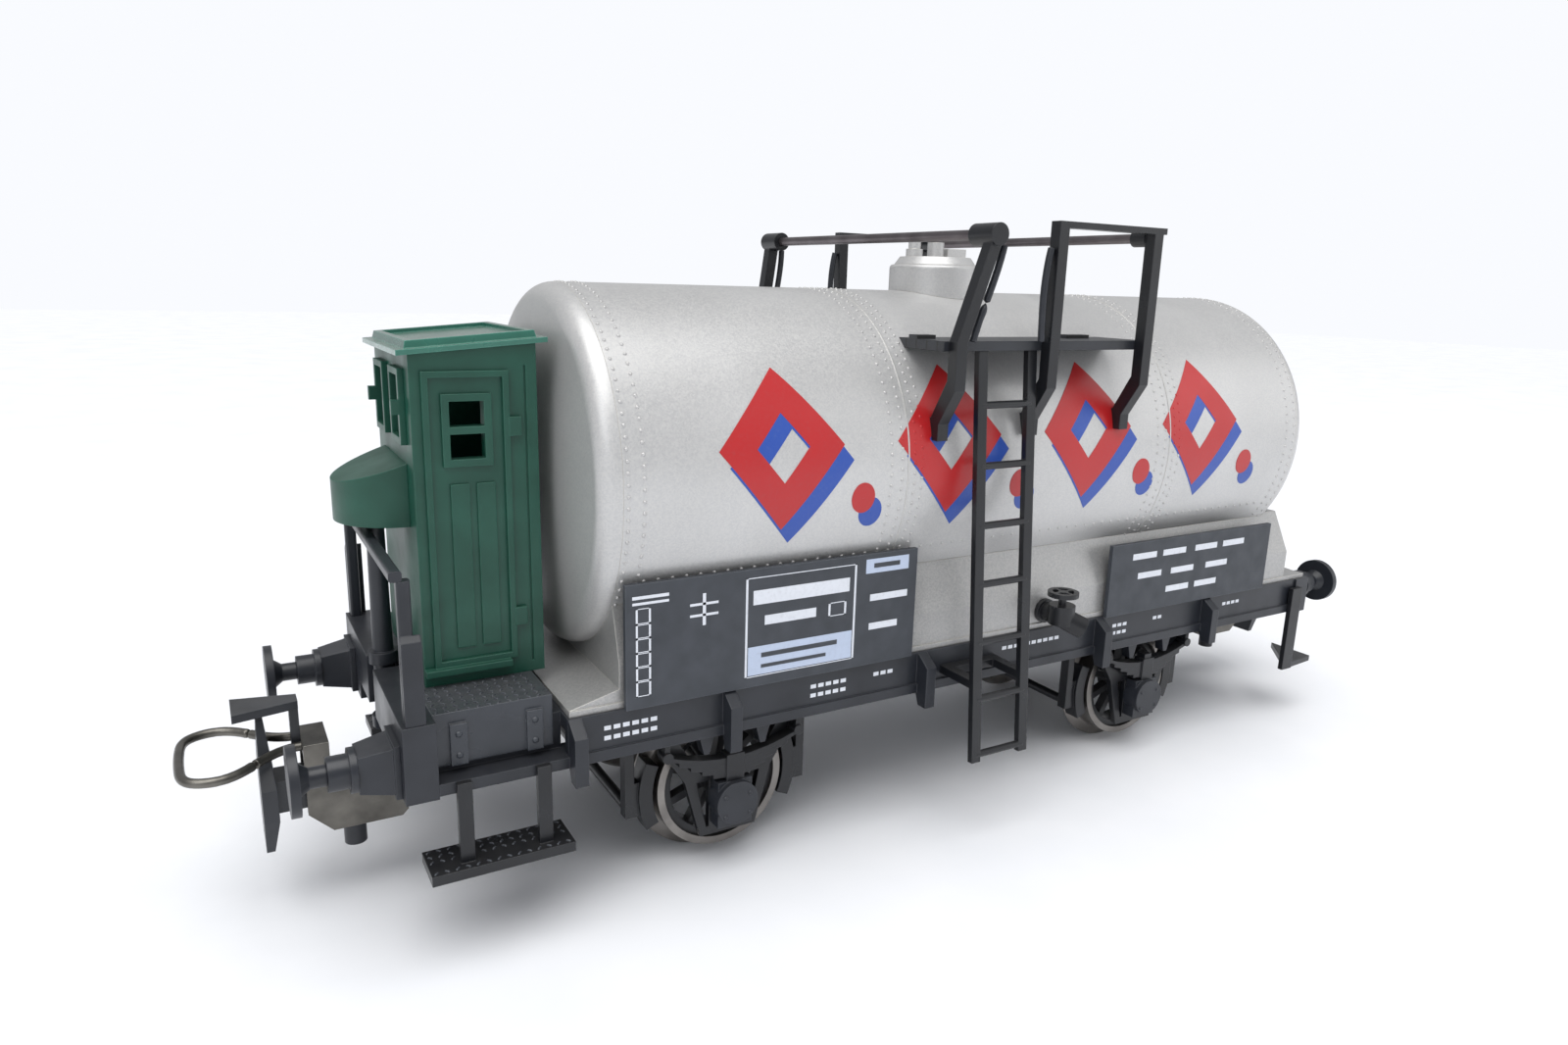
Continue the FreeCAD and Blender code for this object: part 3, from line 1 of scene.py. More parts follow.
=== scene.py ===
# %% [markdown]
# # A model tank wagon, finished by hand
# The wagon's shapes and sizes come from its CAD model. This lesson adds what a solid modeller
# leaves out: paint with a metal sparkle in it, moulded plastic with a faint grain, rivets,
# tread plate, printed panels, and the light of a small white tent.
# Everything is in metres, in the same frame as the CAD: +X runs from the cab end to the tail.

import bpy
import json
import math
import numpy as np
from mathutils import Matrix, Vector


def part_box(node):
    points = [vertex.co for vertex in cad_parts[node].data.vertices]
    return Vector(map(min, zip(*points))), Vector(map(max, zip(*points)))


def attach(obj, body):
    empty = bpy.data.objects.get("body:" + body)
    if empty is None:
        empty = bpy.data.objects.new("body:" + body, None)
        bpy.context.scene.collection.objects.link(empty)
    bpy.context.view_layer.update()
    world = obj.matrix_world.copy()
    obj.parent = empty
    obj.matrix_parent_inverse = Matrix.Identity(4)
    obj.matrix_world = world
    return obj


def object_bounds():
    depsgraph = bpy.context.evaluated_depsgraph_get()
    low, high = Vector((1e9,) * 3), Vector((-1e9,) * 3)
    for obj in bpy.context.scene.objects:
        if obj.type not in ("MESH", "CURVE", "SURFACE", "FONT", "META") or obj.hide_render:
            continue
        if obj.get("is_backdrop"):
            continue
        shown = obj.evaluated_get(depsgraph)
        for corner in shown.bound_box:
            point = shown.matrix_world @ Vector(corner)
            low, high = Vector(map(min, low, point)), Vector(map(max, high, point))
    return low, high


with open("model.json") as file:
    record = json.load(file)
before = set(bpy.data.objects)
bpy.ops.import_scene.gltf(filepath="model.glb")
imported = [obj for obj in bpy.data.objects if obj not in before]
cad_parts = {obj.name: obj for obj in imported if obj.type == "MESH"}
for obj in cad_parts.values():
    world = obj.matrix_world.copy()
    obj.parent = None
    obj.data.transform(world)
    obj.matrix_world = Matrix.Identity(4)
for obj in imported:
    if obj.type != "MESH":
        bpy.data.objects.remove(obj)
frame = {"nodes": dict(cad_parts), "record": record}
cad_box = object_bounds()
nodes = frame["nodes"]
MM = 0.001
print("pieces from the CAD:", len(nodes))

# %% [markdown]
# ## Measuring the wagon
# Every added detail sits on a face that the CAD already has, so the face comes from the box of
# the node that it sits on: the tank's rivets and the boards' prints follow a change of size. The
# places along X of the painted marks, the frame's dashes and the strap rivets are listed.

# %% places read from the CAD
def corners(node):
    """Lowest and highest corner of a node as two numpy arrays."""
    low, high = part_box(node)
    return np.array(low), np.array(high)


barrel_low, barrel_high = corners("tank_barrel")
TANK_Z = (barrel_low[2] + barrel_high[2]) / 2
TANK_R = (barrel_high[2] - barrel_low[2]) / 2
TANK_X0, TANK_X1 = barrel_low[0], barrel_high[0]
TANK_LENGTH = TANK_X1 - TANK_X0
wheel_low, wheel_high = corners("tyres_tail")
WHEEL_X = (wheel_low[0] + wheel_high[0]) / 2
WHEEL_Z = (wheel_low[2] + wheel_high[2]) / 2
cab_high = corners("cab_body")[1]
deck_low, deck_high = corners("cab_platform")
print("tank radius mm:", round(TANK_R / MM, 2), "axle height mm:", round(WHEEL_Z / MM, 2))

# %% [markdown]
# ## Shared surface effects
# Real surfaces differ by small things: a grain too fine to see but enough to soften a
# highlight, a lighter line where an edge catches the light, and a little dust on top. Each
# effect is a shader node group, built once and placed in every material with its own values.
# They read Object coordinates, so the pattern stays fixed to the wagon when it moves.

# %% a helper that starts a node group
def start_group(name, inputs, outputs):
    """An empty node group with named sockets; returns the group, its input and output nodes."""
    group = bpy.data.node_groups.new(name, "ShaderNodeTree")
    for socket, kind, value in inputs:
        made = group.interface.new_socket(socket, in_out="INPUT", socket_type=kind)
        if value is not None:
            made.default_value = value
    for socket, kind in outputs:
        group.interface.new_socket(socket, in_out="OUTPUT", socket_type=kind)
    return group, group.nodes.new("NodeGroupInput"), group.nodes.new("NodeGroupOutput")


FLOAT, VECTOR = "NodeSocketFloat", "NodeSocketVector"


def math_node(tree, operation, first, second=None, clamp=False):
    """A Math node whose inputs are sockets or plain numbers; returns its result socket."""
    node = tree.nodes.new("ShaderNodeMath")
    node.operation = operation
    node.use_clamp = clamp
    for slot_number, value in enumerate((first, second)):
        if value is None:
            continue
        if isinstance(value, (int, float)):
            node.inputs[slot_number].default_value = value
        else:
            tree.links.new(value, node.inputs[slot_number])
    return node.outputs[0]


def noise_node(tree, vector, scale, detail):
    """A Noise texture at a scale that is a socket or a number; returns its value socket."""
    node = tree.nodes.new("ShaderNodeTexNoise")
    node.inputs["Detail"].default_value = detail
    tree.links.new(vector, node.inputs["Vector"])
    if isinstance(scale, (int, float)):
        node.inputs["Scale"].default_value = scale
    else:
        tree.links.new(scale, node.inputs["Scale"])
    return node.outputs["Fac"]


print("group helpers ready")

# %% [markdown]
# ### Moulding grain
# Injection moulding leaves a skin that is never quite even. Two noises make it: a slow one,
# some millimetres across, shifts the tone, and a fine one, a quarter of a millimetre across,
# makes the height for a bump.

# %% the grain group
FINER = 14.0
TONE_GAIN, TONE_SHIFT = 2.4, -0.7


def build_grain():
    """Tone is slow noise times a gain plus a shift, held to 0..1; Height is noise FINER times finer."""
    group, start, end = start_group(
        "moulding_grain",
        [("Vector", VECTOR, None), ("Scale", FLOAT, 300.0)],
        [("Tone", FLOAT), ("Height", FLOAT)],
    )
    vector, scale = start.outputs["Vector"], start.outputs["Scale"]
    slow = noise_node(group, vector, scale, 4.0)
    spread = math_node(group, "MULTIPLY_ADD", slow, TONE_GAIN, clamp=True)
    spread.node.inputs[2].default_value = TONE_SHIFT
    fine = noise_node(group, vector, math_node(group, "MULTIPLY", scale, FINER), 3.0)
    group.links.new(spread, end.inputs["Tone"])
    group.links.new(fine, end.inputs["Height"])
    return group


GRAIN = build_grain()
print("grain sockets:", [s.name for s in GRAIN.interface.items_tree])

# %% [markdown]
# ### Edges that catch the light
# No moulded edge is perfectly sharp. The Bevel node gives the normal that a rounded edge would
# have. Where that normal leaves the flat one there is an edge, so one minus their dot product
# is a mask for rubbed paint and a painted highlight along the edge, and the rounded normal itself
# softens the highlight.

# %% the edge group
EDGE_GAIN = 5.0


def build_edges():
    """Mask is one minus the dot product of rounded and flat normal, scaled and clamped."""
    group, start, end = start_group(
        "edge_catch", [("Radius", FLOAT, 0.0001)], [("Mask", FLOAT), ("Normal", VECTOR)]
    )
    bevel = group.nodes.new("ShaderNodeBevel")
    bevel.samples = 4
    group.links.new(start.outputs["Radius"], bevel.inputs["Radius"])
    flat = group.nodes.new("ShaderNodeNewGeometry")
    dot = group.nodes.new("ShaderNodeVectorMath")
    dot.operation = "DOT_PRODUCT"
    group.links.new(bevel.outputs["Normal"], dot.inputs[0])
    group.links.new(flat.outputs["Normal"], dot.inputs[1])
    away = math_node(group, "SUBTRACT", 1.0, dot.outputs["Value"])
    mask = math_node(group, "MULTIPLY", away, EDGE_GAIN, clamp=True)
    group.links.new(mask, end.inputs["Mask"])
    group.links.new(bevel.outputs["Normal"], end.inputs["Normal"])
    return group


EDGES = build_edges()
print("edge group nodes:", len(EDGES.nodes))

# %% [markdown]
# ### Dust, and a painted sheen on the roof
# Dust lies on what faces up and gathers in patches. The upward part of the normal, sharpened,
# times a patchy noise gives its mask. Where the amount is large, as on the roof, the lighter top
# is also a painted sheen of the tent's light.

# %% the dust group
PATCH_SCALE = 900.0
DUST_SHARPNESS = 3.0


def build_dust():
    """Mask is the normal's upward part cubed, times patchy noise, times Amount."""
    group, start, end = start_group(
        "settled_dust_and_sheen", [("Vector", VECTOR, None), ("Amount", FLOAT, 0.3)], [("Mask", FLOAT)]
    )
    geometry = group.nodes.new("ShaderNodeNewGeometry")
    parts = group.nodes.new("ShaderNodeSeparateXYZ")
    group.links.new(geometry.outputs["Normal"], parts.inputs[0])
    upward = math_node(group, "POWER", math_node(group, "MAXIMUM", parts.outputs["Z"], 0.0), DUST_SHARPNESS)
    patches = noise_node(group, start.outputs["Vector"], PATCH_SCALE, 5.0)
    patchy = math_node(group, "MULTIPLY", upward, patches)
    group.links.new(math_node(group, "MULTIPLY", patchy, start.outputs["Amount"]), end.inputs["Mask"])
    return group


DUST_AND_SHEEN = build_dust()
print("dust group nodes:", len(DUST_AND_SHEEN.nodes))

# %% [markdown]
# ### Metal flakes
# Silver paint is clear lacquer full of tiny aluminium flakes, each tilted its own way. Voronoi
# cells stand for the flakes: the random colour of each cell gives its painted glint, a lightening
# of the paint's colour, and a height, and many small steps in height make the surface glitter.

# %% the flake group
def build_flakes():
    """Sparkle and Height are the red and green of the random colour of each Voronoi cell."""
    group, start, end = start_group(
        "metal_flakes",
        [("Vector", VECTOR, None), ("Scale", FLOAT, 9000.0)],
        [("Sparkle", FLOAT), ("Height", FLOAT)],
    )
    cells = group.nodes.new("ShaderNodeTexVoronoi")
    group.links.new(start.outputs["Vector"], cells.inputs["Vector"])
    group.links.new(start.outputs["Scale"], cells.inputs["Scale"])
    parts = group.nodes.new("ShaderNodeSeparateColor")
    group.links.new(cells.outputs["Color"], parts.inputs[0])
    group.links.new(parts.outputs["Red"], end.inputs["Sparkle"])
    group.links.new(parts.outputs["Green"], end.inputs["Height"])
    return group


FLAKES = build_flakes()
print("flake sockets:", [s.name for s in FLAKES.interface.items_tree])

# %% [markdown]
# ## Materials
# A material starts with the Principled shader and gets its colour in layers, as a painter
# would: base tone, lighter edges, then dust. A colour picked on a screen has to be turned into
# the linear light that shaders count in, and that comes first.

# %% colours from screen to shader
def linear(red, green, blue):
    """A screen colour, 0..255, as the linear RGBA that shaders use."""
    screen = np.array([red, green, blue]) / 255
    light = np.where(screen <= 0.04045, screen / 12.92, ((screen + 0.055) / 1.055) ** 2.4)
    return (*[float(v) for v in light], 1.0)


def scaled(colour, factor, lift=0.0):
    """The linear RGBA of a screen colour, times factor, plus lift, held at 1."""
    return (*[min(1.0, c * factor + lift) for c in linear(*colour)[:3]], 1.0)


print("white is", linear(255, 255, 255))

# %% [markdown]
# A small class keeps a material's node tree readable. It starts the Principled shader and the
# Object coordinates, places groups, mixes colours in layers and feeds the shader's sockets.

# %% a small material workshop
class Finish:
    """A material being built: its tree, its Principled shader and its Object coordinates."""

    def __init__(self, name):
        """Starts a node material of that name."""
        self.material = bpy.data.materials.new(name)
        self.material.use_nodes = True
        self.tree = self.material.node_tree
        self.shader = self.tree.nodes["Principled BSDF"]
        self.place = self.tree.nodes.new("ShaderNodeTexCoord").outputs["Object"]

    def group(self, source, **values):
        """Places a node group, feeds it Object coordinates, and sets its named values."""
        node = self.tree.nodes.new("ShaderNodeGroup")
        node.node_tree = source
        if "Vector" in node.inputs:
            self.tree.links.new(self.place, node.inputs["Vector"])
        for name, value in values.items():
            node.inputs[name].default_value = value
        return node

    def layer(self, mask, below, above):
        """Mixes two colours, each a socket or an RGBA, by a mask socket."""
        mix = self.tree.nodes.new("ShaderNodeMix")
        mix.data_type = "RGBA"
        self.tree.links.new(mask, mix.inputs["Factor"])
        for socket, value in (("A", below), ("B", above)):
            target = [s for s in mix.inputs if s.name == socket and s.type == "RGBA"][0]
            if isinstance(value, tuple):
                target.default_value = value
            else:
                self.tree.links.new(value, target)
        return [s for s in mix.outputs if s.type == "RGBA"][0]

    def spread(self, source, low, high):
        """Maps a 0..1 socket to low..high."""
        node = self.tree.nodes.new("ShaderNodeMapRange")
        self.tree.links.new(source, node.inputs["Value"])
        node.inputs["To Min"].default_value = low
        node.inputs["To Max"].default_value = high
        return node.outputs["Result"]

    def feed(self, socket, source):
        """Links a source to the shader's named socket."""
        self.tree.links.new(source, self.shader.inputs[socket])

    def bump(self, height, distance, strength, normal=None):
        """Sends a height through a Bump node to the shader's normal."""
        node = self.tree.nodes.new("ShaderNodeBump")
        node.inputs["Distance"].default_value = distance
        node.inputs["Strength"].default_value = strength
        self.tree.links.new(height, node.inputs["Height"])
        if normal is not None:
            self.tree.links.new(normal, node.inputs["Normal"])
        self.feed("Normal", node.outputs["Normal"])


def clear_coat(material, weight, roughness):
    """Sets a clear coat straight on the material's own shader."""
    shader = material.node_tree.nodes["Principled BSDF"]
    shader.inputs["Coat Weight"].default_value = weight
    shader.inputs["Coat Roughness"].default_value = roughness


print("workshop ready:", [name for name in vars(Finish) if not name.startswith("_")])

# %% [markdown]
# ### Moulded plastic
# Frame, cab, boards and wheels are all dyed plastic. They share one recipe: the tone drifts
# between two colours, edges go a shade lighter with rubbed wear and a painted highlight, dust
# sits on top (on the roof also a painted sheen), and the gloss varies with the same slow noise,
# because a smoother patch of mould is also a shinier one.

# %% the plastic recipe
DUST_AND_SHEEN_COLOUR = linear(176, 172, 164)
MOULD_RIM = 0.12 * MM
MOULD_GRAIN = 0.01 * MM


def plastic(name, colour, shade, gloss, dust=0.2, grain=300.0, edge=0.12, bump=0.35):
    """Dyed plastic: colour drifts to shade, rubbed and highlit edges lighten by edge, dust (a painted sheen
    too on the roof) whitens the top, gloss is a range.
    """
    work = Finish(name)
    skin = work.group(GRAIN, Scale=grain)
    rim = work.group(EDGES, Radius=MOULD_RIM)
    dust_and_sheen_layer = work.group(DUST_AND_SHEEN, Amount=dust)
    tone = work.layer(skin.outputs["Tone"], linear(*shade), linear(*colour))
    # Edges lighten towards a paler copy of the colour: rubbed wear plus a painted highlight where the edge
    # catches the light.
    rubbed_and_highlit = scaled(colour, 1 + 6 * edge, 0.25 * edge)
    edged = work.layer(rim.outputs["Mask"], tone, rubbed_and_highlit)
    # Dust whitens what faces up; on the roof, with a large amount, it also paints a sheen of the tent's
    # light on the top.
    work.feed("Base Color", work.layer(dust_and_sheen_layer.outputs["Mask"], edged, DUST_AND_SHEEN_COLOUR))
    work.feed("Roughness", work.spread(skin.outputs["Tone"], gloss[1], gloss[0]))
    work.bump(skin.outputs["Height"], MOULD_GRAIN, bump, rim.outputs["Normal"])
    work.shader.inputs["IOR"].default_value = 1.5
    return work.material


print("dust colour:", [round(c, 3) for c in DUST_AND_SHEEN_COLOUR])

# %% [markdown]
# Each plastic is one call. The frame is a blue black, the separately moulded fittings such as
# ladders and posts are blacker, and the roof has a clear coat because its top mirrors the tent.
# The roof's green is lighter than the cab's and its dust is strong: both are partly a painted
# sheen of the tent on its top, over real dust.

# %% the plastics
BLACK = plastic("frame_black_plastic", (40, 43, 50), (31, 34, 40), (0.30, 0.44), dust=0.05, edge=0.07)
FITTINGS = plastic("fittings_black_plastic", (26, 28, 32), (19, 20, 24), (0.26, 0.38), dust=0.05, edge=0.06)
DECK = plastic("deck_black_plastic", (58, 62, 69), (46, 50, 56), (0.22, 0.32), dust=0.14, edge=0.12)
GREEN = plastic("cab_green_plastic", (20, 80, 64), (15, 67, 53), (0.34, 0.46), dust=0.06, edge=0.10)
# Painted sheen: the lighter green and heavy dust partly stand for the tent's glare on the roof.
ROOF_PAINTED_SHEEN = plastic("roof_green_painted_sheen_plastic", (44, 112, 96), (34, 98, 82), (0.24, 0.34), dust=0.48, edge=0.14)
clear_coat(ROOF_PAINTED_SHEEN, 0.6, 0.18)
BOARD = plastic("board_grey_print", (62, 66, 73), (54, 58, 64), (0.46, 0.58), dust=0.04, grain=600.0)
WHEEL = plastic("wheel_centre_black", (40, 41, 44), (30, 31, 33), (0.38, 0.52), dust=0.1)
HOOK = plastic("coupler_black_plastic", (46, 49, 55), (36, 38, 42), (0.30, 0.42), dust=0.08, edge=0.08)
print("plastics made:", [m.name for m in bpy.data.materials if "plastic" in m.name])

# %% [markdown]
# ### Planked walkway
# The walkway is moulded to look like boards. Thin dark grooves along X, made by a sawtooth of
# the Y coordinate, go into the height, and a noise stretched along X is the wood grain.

# %% the walkway material
GROOVE_SHARE = 0.14
FIBRE_STRETCH = (0.12, 1.0, 1.0)


def planks(name, pitch):
    """Plastic with grooves where the fractional part of y over pitch is near zero."""
    work = Finish(name)
    skin = work.group(GRAIN, Scale=300.0)
    rim = work.group(EDGES, Radius=0.1 * MM)
    parts = work.tree.nodes.new("ShaderNodeSeparateXYZ")
    work.tree.links.new(work.place, parts.inputs[0])
    cycle = math_node(work.tree, "FRACT", math_node(work.tree, "DIVIDE", parts.outputs["Y"], pitch))
    board = math_node(work.tree, "GREATER_THAN", cycle, GROOVE_SHARE)
    stretch = work.tree.nodes.new("ShaderNodeMapping")
    stretch.inputs["Scale"].default_value = FIBRE_STRETCH
    work.tree.links.new(work.place, stretch.inputs["Vector"])
    fibre = noise_node(work.tree, stretch.outputs["Vector"], 5200.0, 4.0)
    height = math_node(work.tree, "MULTIPLY_ADD", fibre, 0.35)
    work.tree.links.new(board, height.node.inputs[2])
    tone = work.layer(skin.outputs["Tone"], linear(36, 38, 43), linear(46, 49, 55))
    work.feed("Base Color", work.layer(board, linear(22, 23, 25), tone))
    work.feed("Roughness", work.spread(fibre, 0.30, 0.50))
    work.bump(height, 0.05 * MM, 0.8, rim.outputs["Normal"])
    return work.material


WALKWAY = planks("walkway_planks", 1.3 * MM)
print("walkway material:", WALKWAY.name)

# %% [markdown]
# ### Silver paint
# The tank and its cradle carry plain silver paint; the cradle's copy is darker, a painted shade
# for its place under the tank. A half-metallic shader under a thin clear coat, tiny flakes painted
# as glints in the colour and as steps in height, and a slow drift in tone give the sheen that
# changes from grey below to nearly white above.

# %% the silver paint
def silver(name, colour, shade, flake_scale):
    """Half-metallic paint whose brightness and height jitter from flake to flake."""
    work = Finish(name)
    skin = work.group(GRAIN, Scale=120.0)
    flake = work.group(FLAKES, Scale=flake_scale)
    rim = work.group(EDGES, Radius=0.1 * MM)
    tone = work.layer(skin.outputs["Tone"], linear(*shade), linear(*colour))
    # Painted glint: each flake's sparkle lightens the colour towards near white.
    glint = work.spread(flake.outputs["Sparkle"], 0.0, 0.16)
    glinting_tone = work.layer(glint, tone, linear(255, 252, 244))
    # Edges go to a paler silver: rubbed paint plus a painted highlight along the edge.
    work.feed("Base Color", work.layer(rim.outputs["Mask"], glinting_tone, linear(216, 213, 205)))
    work.feed("Roughness", work.spread(flake.outputs["Sparkle"], 0.34, 0.46))
    both = math_node(work.tree, "ADD", flake.outputs["Height"], skin.outputs["Height"])
    work.bump(both, 0.004 * MM, 0.5, rim.outputs["Normal"])
    work.shader.inputs["Metallic"].default_value = 0.45
    clear_coat(work.material, 0.15, 0.25)
    return work.material


FLAKE_SCALE = 9000.0
SILVER = silver("tank_silver_paint", (200, 200, 200), (190, 190, 190), FLAKE_SCALE)
# Painted shade: the cradle is the same silver, darker to stand for the shade under the tank.
CRADLE_PAINTED_SHADE = silver("cradle_silver_painted_shade", (170, 170, 170), (158, 158, 158), FLAKE_SCALE)
print("silver paints:", [SILVER.name, CRADLE_PAINTED_SHADE.name])

# %% [markdown]
# ### Bare metal
# Tyres, axles, rods and the coupler's stampings are bare metal, each darkened its own way.
# Fine scratches come from a noise squeezed along one axis, so they run the way the tool did.

# %% the metal recipe
def metal(name, colour, shade, gloss, squeeze):
    """Bare metal with scratches: noise whose coordinates are scaled by squeeze per axis."""
    work = Finish(name)
    skin = work.group(GRAIN, Scale=420.0)
    rim = work.group(EDGES, Radius=0.06 * MM)
    stretch = work.tree.nodes.new("ShaderNodeMapping")
    stretch.inputs["Scale"].default_value = squeeze
    work.tree.links.new(work.place, stretch.inputs["Vector"])
    scratch = noise_node(work.tree, stretch.outputs["Vector"], 6000.0, 3.0)
    tone = work.layer(skin.outputs["Tone"], linear(*shade), linear(*colour))
    # Edges go lighter: worn metal plus a painted highlight along the edge.
    work.feed("Base Color", work.layer(rim.outputs["Mask"], tone, scaled(colour, 1.35)))
    work.feed("Roughness", work.spread(scratch, gloss[0], gloss[1]))
    work.bump(scratch, 0.006 * MM, 0.5, rim.outputs["Normal"])
    work.shader.inputs["Metallic"].default_value = 0.9
    return work.material


TYRE = metal("tyre_turned_metal", (142, 138, 134), (112, 108, 105), (0.22, 0.40), (0.3, 3.0, 0.3))
AXLE = metal("axle_steel", (120, 118, 115), (92, 90, 88), (0.28, 0.45), (3.0, 0.3, 3.0))
RODS = metal("rod_drawn_wire", (124, 118, 120), (98, 92, 94), (0.28, 0.46), (2.0, 0.15, 2.0))
STAMPED = metal("coupler_stamped_metal", (122, 119, 113), (88, 86, 82), (0.26, 0.48), (0.4, 1.0, 2.0))
print("metals made:", [TYRE.name, AXLE.name, RODS.name, STAMPED.name])

# %% [markdown]
# ### Printing ink
# Pad-printed ink lies on the surface as a thin, slightly uneven film. Its tone breaks up
# faintly where the grain below shows through, and a thin clear coat gives it the same pale
# sheen as the lacquer round it.

# %% the inks
def ink(name, colour, below):
    """Printed film: the colour lets the tone below show through where fine noise is high."""
    work = Finish(name)
    skin = work.group(GRAIN, Scale=260.0)
    thin = math_node(work.tree, "POWER", skin.outputs["Height"], 5.0)
    tone = work.layer(skin.outputs["Tone"], scaled(colour, 0.94), linear(*colour))
    work.feed("Base Color", work.layer(thin, tone, linear(*below)))
    work.feed("Roughness", work.spread(skin.outputs["Tone"], 0.46, 0.36))
    work.bump(skin.outputs["Height"], 0.004 * MM, 0.4)
    clear_coat(work.material, 0.3, 0.3)
    return work.material


RED = ink("tank_red_ink", (186, 24, 28), (160, 70, 70))
BLUE = ink("tank_blue_ink", (32, 76, 170), (80, 104, 160))
WHITE = ink("board_white_ink", (226, 230, 238), (150, 152, 158))
PALE = ink("board_pale_ink", (190, 203, 226), (150, 158, 176))
print("inks made:", [RED.name, BLUE.name, WHITE.name, PALE.name])

# %% [markdown]
# ### Dressing the CAD pieces
# The packed model already says which finish each piece has: its material slot. One table
# from slot to material dresses every piece, so nothing is left with a flat colour.

# %% assign materials by slot
DRESS = {
    "frame_black": BLACK, "deck_black": DECK, "walkway_black": WALKWAY, "cab_green": GREEN,
    "roof_green": ROOF_PAINTED_SHEEN, "tank_silver": SILVER, "cradle_silver": CRADLE_PAINTED_SHADE, "board_grey": BOARD,
    "buffer_black": BLACK, "rod_metal": RODS, "axle_steel": AXLE, "tyre_metal": TYRE,
    "wheel_black": WHEEL, "coupler_black": HOOK, "coupler_metal": STAMPED, "trip_black": HOOK,
}
for part in frame["record"]["subparts"]:
    mesh = nodes[part["node"]].data
    mesh.materials.clear()
    mesh.materials.append(DRESS[part["material_slot"]])

# %% [markdown]
# Some pieces share a slot with the frame and are yet of a blacker plastic: the ladders, posts,
# steps and valves, and the running gear. A short list of names gives them the fittings' finish.

# %% the blacker pieces
BLACKER = (
    "posts_near", "posts_far", "ladder_near", "ladder_far",
    "cab_step_near", "cab_step_far", "end_steps", "outlet_valves", "handwheels",
    "axleguards_cab", "axleguards_tail", "leaf_springs", "brake_gear",
)
for name in BLACKER:
    nodes[name].data.materials[0] = FITTINGS
print("blacker pieces:", len(BLACKER))

# %% [markdown]
# ## Shapes from arrays
# New details are surfaces given by a rule. A turned shape is a profile carried round an axis:
# every ring of the surface is one point of the profile, and fans close it at both poles.

# %% a turned shape
def turned(profile, segments):
    """Revolution about Z: the (r, z) profile at equal angles, with both its ends on the axis."""
    profile = np.asarray(profile, float)
    rings = profile[1:-1]
    angle = np.arange(segments) * 2 * np.pi / segments
    x = rings[:, :1] * np.cos(angle)
    y = rings[:, :1] * np.sin(angle)
    z = np.repeat(rings[:, 1:], segments, axis=1)
    body = np.stack([x, y, z], axis=-1).reshape(-1, 3)
    verts = np.vstack([body, [0, 0, profile[0, 1]], [0, 0, profile[-1, 1]]])
    first, last = len(body), len(body) + 1
    step = np.arange(segments)
    ahead = (step + 1) % segments
    faces = [(first, a, b) for a, b in zip(step.tolist(), ahead.tolist())]
    for ring in range(len(rings) - 1):
        here, below = ring * segments, (ring + 1) * segments
        faces += np.stack([here + step, below + step, below + ahead, here + ahead], 1).tolist()
    base = (len(rings) - 1) * segments
    faces += [(last, base + b, base + a) for a, b in zip(step.tolist(), ahead.tolist())]
    return verts, faces


print("corners of a turned cone:", len(turned([(0, 1), (1, 0), (0, 0)], 8)[0]))

# %% [markdown]
# Stamping copies one small shape to many places at once: numpy turns every copy with its own
# rotation in a single product, and the whole lot becomes one mesh. That keeps hundreds of
# rivets light and quick, where as many objects would slow the scene down.

# %% helpers that stamp
def bases(normals, along):
    """Rotation per copy: its Z is the normal, its X is along made square to that normal."""
    normals = normals / np.linalg.norm(normals, axis=1, keepdims=True)
    across = along - normals * np.sum(along * normals, axis=1, keepdims=True)
    across = across / np.linalg.norm(across, axis=1, keepdims=True)
    return np.stack([across, np.cross(normals, across), normals], axis=-1)


def stamp(shape, places, normals, along):
    """Copies a shape to every place: vertex = place + rotation times the shape's vertex."""
    verts, faces = shape
    turn = bases(np.asarray(normals, float), np.asarray(along, float))
    moved = np.einsum("kij,vj->kvi", turn, verts) + np.asarray(places, float)[:, None, :]
    count = len(verts)
    copies = [[i + k * count for i in face] for k in range(len(places)) for face in faces]
    return moved.reshape(-1, 3), copies


print("turned to face up:", bases(np.array([[0.0, 0, 1]]), np.array([[1.0, 0, 0]]))[0].tolist())

# %% [markdown]
# The last helpers join several shapes and put them into Blender. Each new piece gets one
# material and says which body of the wagon it rides on.

# %% helpers that make a piece
def piece(name, shape, material, body="wagon", smooth=False):
    """A mesh object at the origin with one material, riding on a body."""
    mesh = bpy.data.meshes.new(name)
    mesh.from_pydata(np.asarray(shape[0]).tolist(), [], [tuple(f) for f in shape[1]])
    mesh.materials.append(material)
    mesh.polygons.foreach_set("use_smooth", np.full(len(mesh.polygons), smooth))
    mesh.update()
    made = bpy.data.objects.new(name, mesh)
    bpy.context.scene.collection.objects.link(made)
    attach(made, body)
    return made


def joined(shapes):
    """Several shapes as one, with face numbers shifted past the vertices before them."""
    verts, faces, start = [], [], 0
    for points, loops in shapes:
        verts.append(points)
        faces += [[i + start for i in loop] for loop in loops]
        start += len(points)
    return np.vstack(verts), faces


# %% [markdown]
# ## Where the painted marks lie
# The tank carries large painted marks in red, each with a blue shadow low and to one side.
# Plain diamonds and discs stand for them. A mark is given in flat coordinates, x along the
# tank and s round it from the top. One rule covers them all: a superellipse, which is a
# diamond at power 1 and a disc at power 2. The rivets need to know where the paint is, so the
# places come first.

